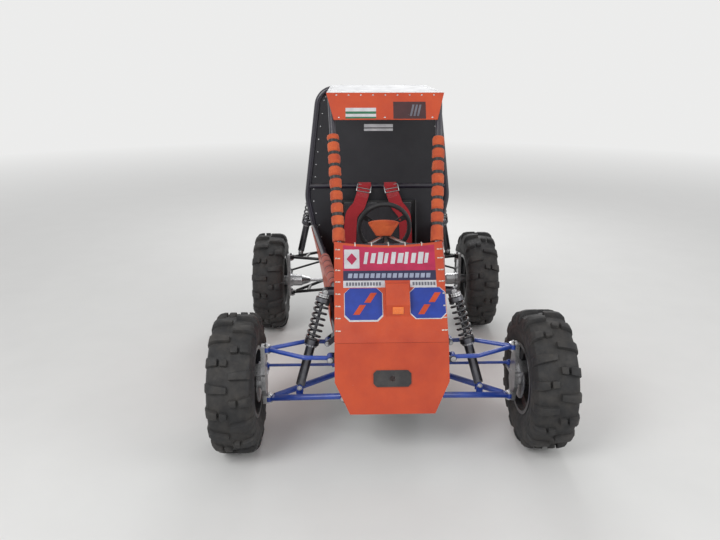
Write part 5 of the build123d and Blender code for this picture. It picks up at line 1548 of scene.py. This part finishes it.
tank = {
    "x": (-0.095, 0.010), "y": (0.4350, 0.6250), "z": (0.760, 0.930), "strap": 0.022, "thick": 0.0016,
    "slack": 0.0008, "cap": (0.060, 0.530, 0.945), "capRadius": 0.0312, "notches": 24, "depth": 0.045,
}
tankFront, tankBack = tank["y"]
strapParts = []
for x in tank["x"]:
    size = (tank["strap"], tankBack - tankFront + tank["slack"], tank["z"][1] - tank["z"][0] + tank["slack"])
    hoop = brick(size, (x, (tankFront + tankBack) / 2, sum(tank["z"]) / 2))
    pick(hoop, lambda middle, normal: abs(normal.x) > 0.9)
    bpy.ops.mesh.delete(type="FACE")
    done()
    strapParts.append(bevelAll(walled(hoop, tank["thick"]), 0.0005, 1, 40))
    screwY = tankBack + 0.006
    strapParts.append(roundBar((x, screwY, 0.850), (x, screwY, 0.885), 0.0035, 16, 0.0008))
    strapParts.append(brick((tank["strap"] + 0.004, 0.010, 0.006), (x, tankBack + 0.005, 0.868), 0.001))
finished(joined(strapParts, "tank_straps"), "tank_straps", "chassis", machined)

bpy.ops.mesh.primitive_cylinder_add(
    vertices=tank["notches"] * 4, radius=tank["capRadius"], depth=0.014, location=(0, 0, -0.0055))
cap = bpy.context.object
freeze(cap)
knurled(cap, tank["notches"], tank["depth"])
capGrip = brick((0.046, 0.010, 0.007), (0, 0, 0.0035), 0.0025, 3)
cap = place(joined([bevelAll(cap, 0.0009, 1), capGrip], "tank_cap"), Matrix.Translation(tank["cap"]))
finished(cap, "tank_cap", "chassis", shellPlastic)

muffler = {
    "y": 0.868, "z": 0.657, "half": 0.098, "radius": 0.0535, "sides": 48, "thick": 0.0014,
    "cuts": (-0.86, -0.62, -0.56, -0.10, -0.04, 0.04, 0.10, 0.56, 0.62, 0.86),
}
bpy.ops.mesh.primitive_cylinder_add(
    vertices=muffler["sides"], radius=muffler["radius"], depth=muffler["half"] * 2, end_fill_type="NOTHING")
shield = bpy.context.object
place(shield, Matrix.Translation((0, muffler["y"], muffler["z"])) @ Matrix.Rotation(math.pi / 2, 4, "Y"))
editAll(shield)
for share in muffler["cuts"]:
    bpy.ops.mesh.select_all(action="SELECT")
    bpy.ops.mesh.bisect(plane_co=(muffler["half"] * share, 0, 0), plane_no=(1, 0, 0))
done()


def shieldGap(middle, normal):
    # everything in front, and slots round the back
    if normal.y < -0.1:
        return True
    step = round((math.atan2(normal.z, normal.y) % math.tau) / math.tau * muffler["sides"] - 0.5)
    share = abs(middle.x) / muffler["half"]
    return step % 4 in (1, 2) and (0.10 < share < 0.56 or 0.62 < share < 0.86)


pick(shield, shieldGap)
bpy.ops.mesh.delete(type="FACE")
done()
walled(shield, muffler["thick"])
finished(shield, "muffler_shield", "chassis", machined, 30)

engine = {
    "crank": (0.568, 0.482), "driven": (0.808, 0.482), "coverRim": 0.1035, "coverHub": 0.050, "blower": 0.092,
}


def seatedBolts(name, starts, aim, size):
    # a bolt where each ray meets the solid
    seats = [spotOn(name, start, aim) for start in starts]
    return [copyOf(bolt, aimed(spot, normal, size)) for spot, normal in seats if spot is not None]


def circleSpots(x, centre, radius, degrees):
    y, z = centre
    angles = [math.radians(angle) for angle in degrees]
    return [(x, y + radius * math.cos(angle), z + radius * math.sin(angle)) for angle in angles]


rim, crankZ = engine["coverRim"], engine["crank"][1]
rimSpots = circleSpots(-1.0, engine["crank"], rim, range(120, 241, 30))
rimSpots += circleSpots(-1.0, engine["driven"], rim, range(-60, 61, 30))
rimSpots += [(-1.0, y, crankZ + side * rim) for y in (0.625, 0.688, 0.750) for side in (-1, 1)]
hubSpots = circleSpots(-1.0, engine["crank"], engine["coverHub"], range(0, 360, 60))
hubSpots += circleSpots(-1.0, engine["driven"], engine["coverHub"], range(0, 360, 60))
blowerSpots = circleSpots(1.0, engine["crank"], engine["blower"], [22.5 + 45 * step for step in range(8)])
blockSpots = [(x, 0.2, z) for x in (-0.052, 0.020) for z in (0.40, 0.53)]
gearSpots = [(x, 1.4, z) for x in (-0.030, 0.030) for z in (0.34, 0.42, 0.50)]
# columns: solid, where the rays start, which way they go, size of the bolt
boltRows = [
    ("drive_cover", rimSpots, (1, 0, 0), 0.5), ("drive_cover", hubSpots, (1, 0, 0), 0.6),
    ("blower_housing", blowerSpots, (-1, 0, 0), 0.6), ("engine_block", blockSpots, (0, 1, 0), 0.8),
    ("gearbox", gearSpots, (0, -1, 0), 0.7),
]
coverBolts = []
for name, starts, aim, size in boltRows:
    coverBolts += seatedBolts(name, starts, aim, size)
finished(joined(coverBolts, "engine_bolts"), "engine_bolts", "chassis", machined)
bpy.data.objects.remove(bolt)
bpy.data.objects.remove(nut)
print("engine dressed")
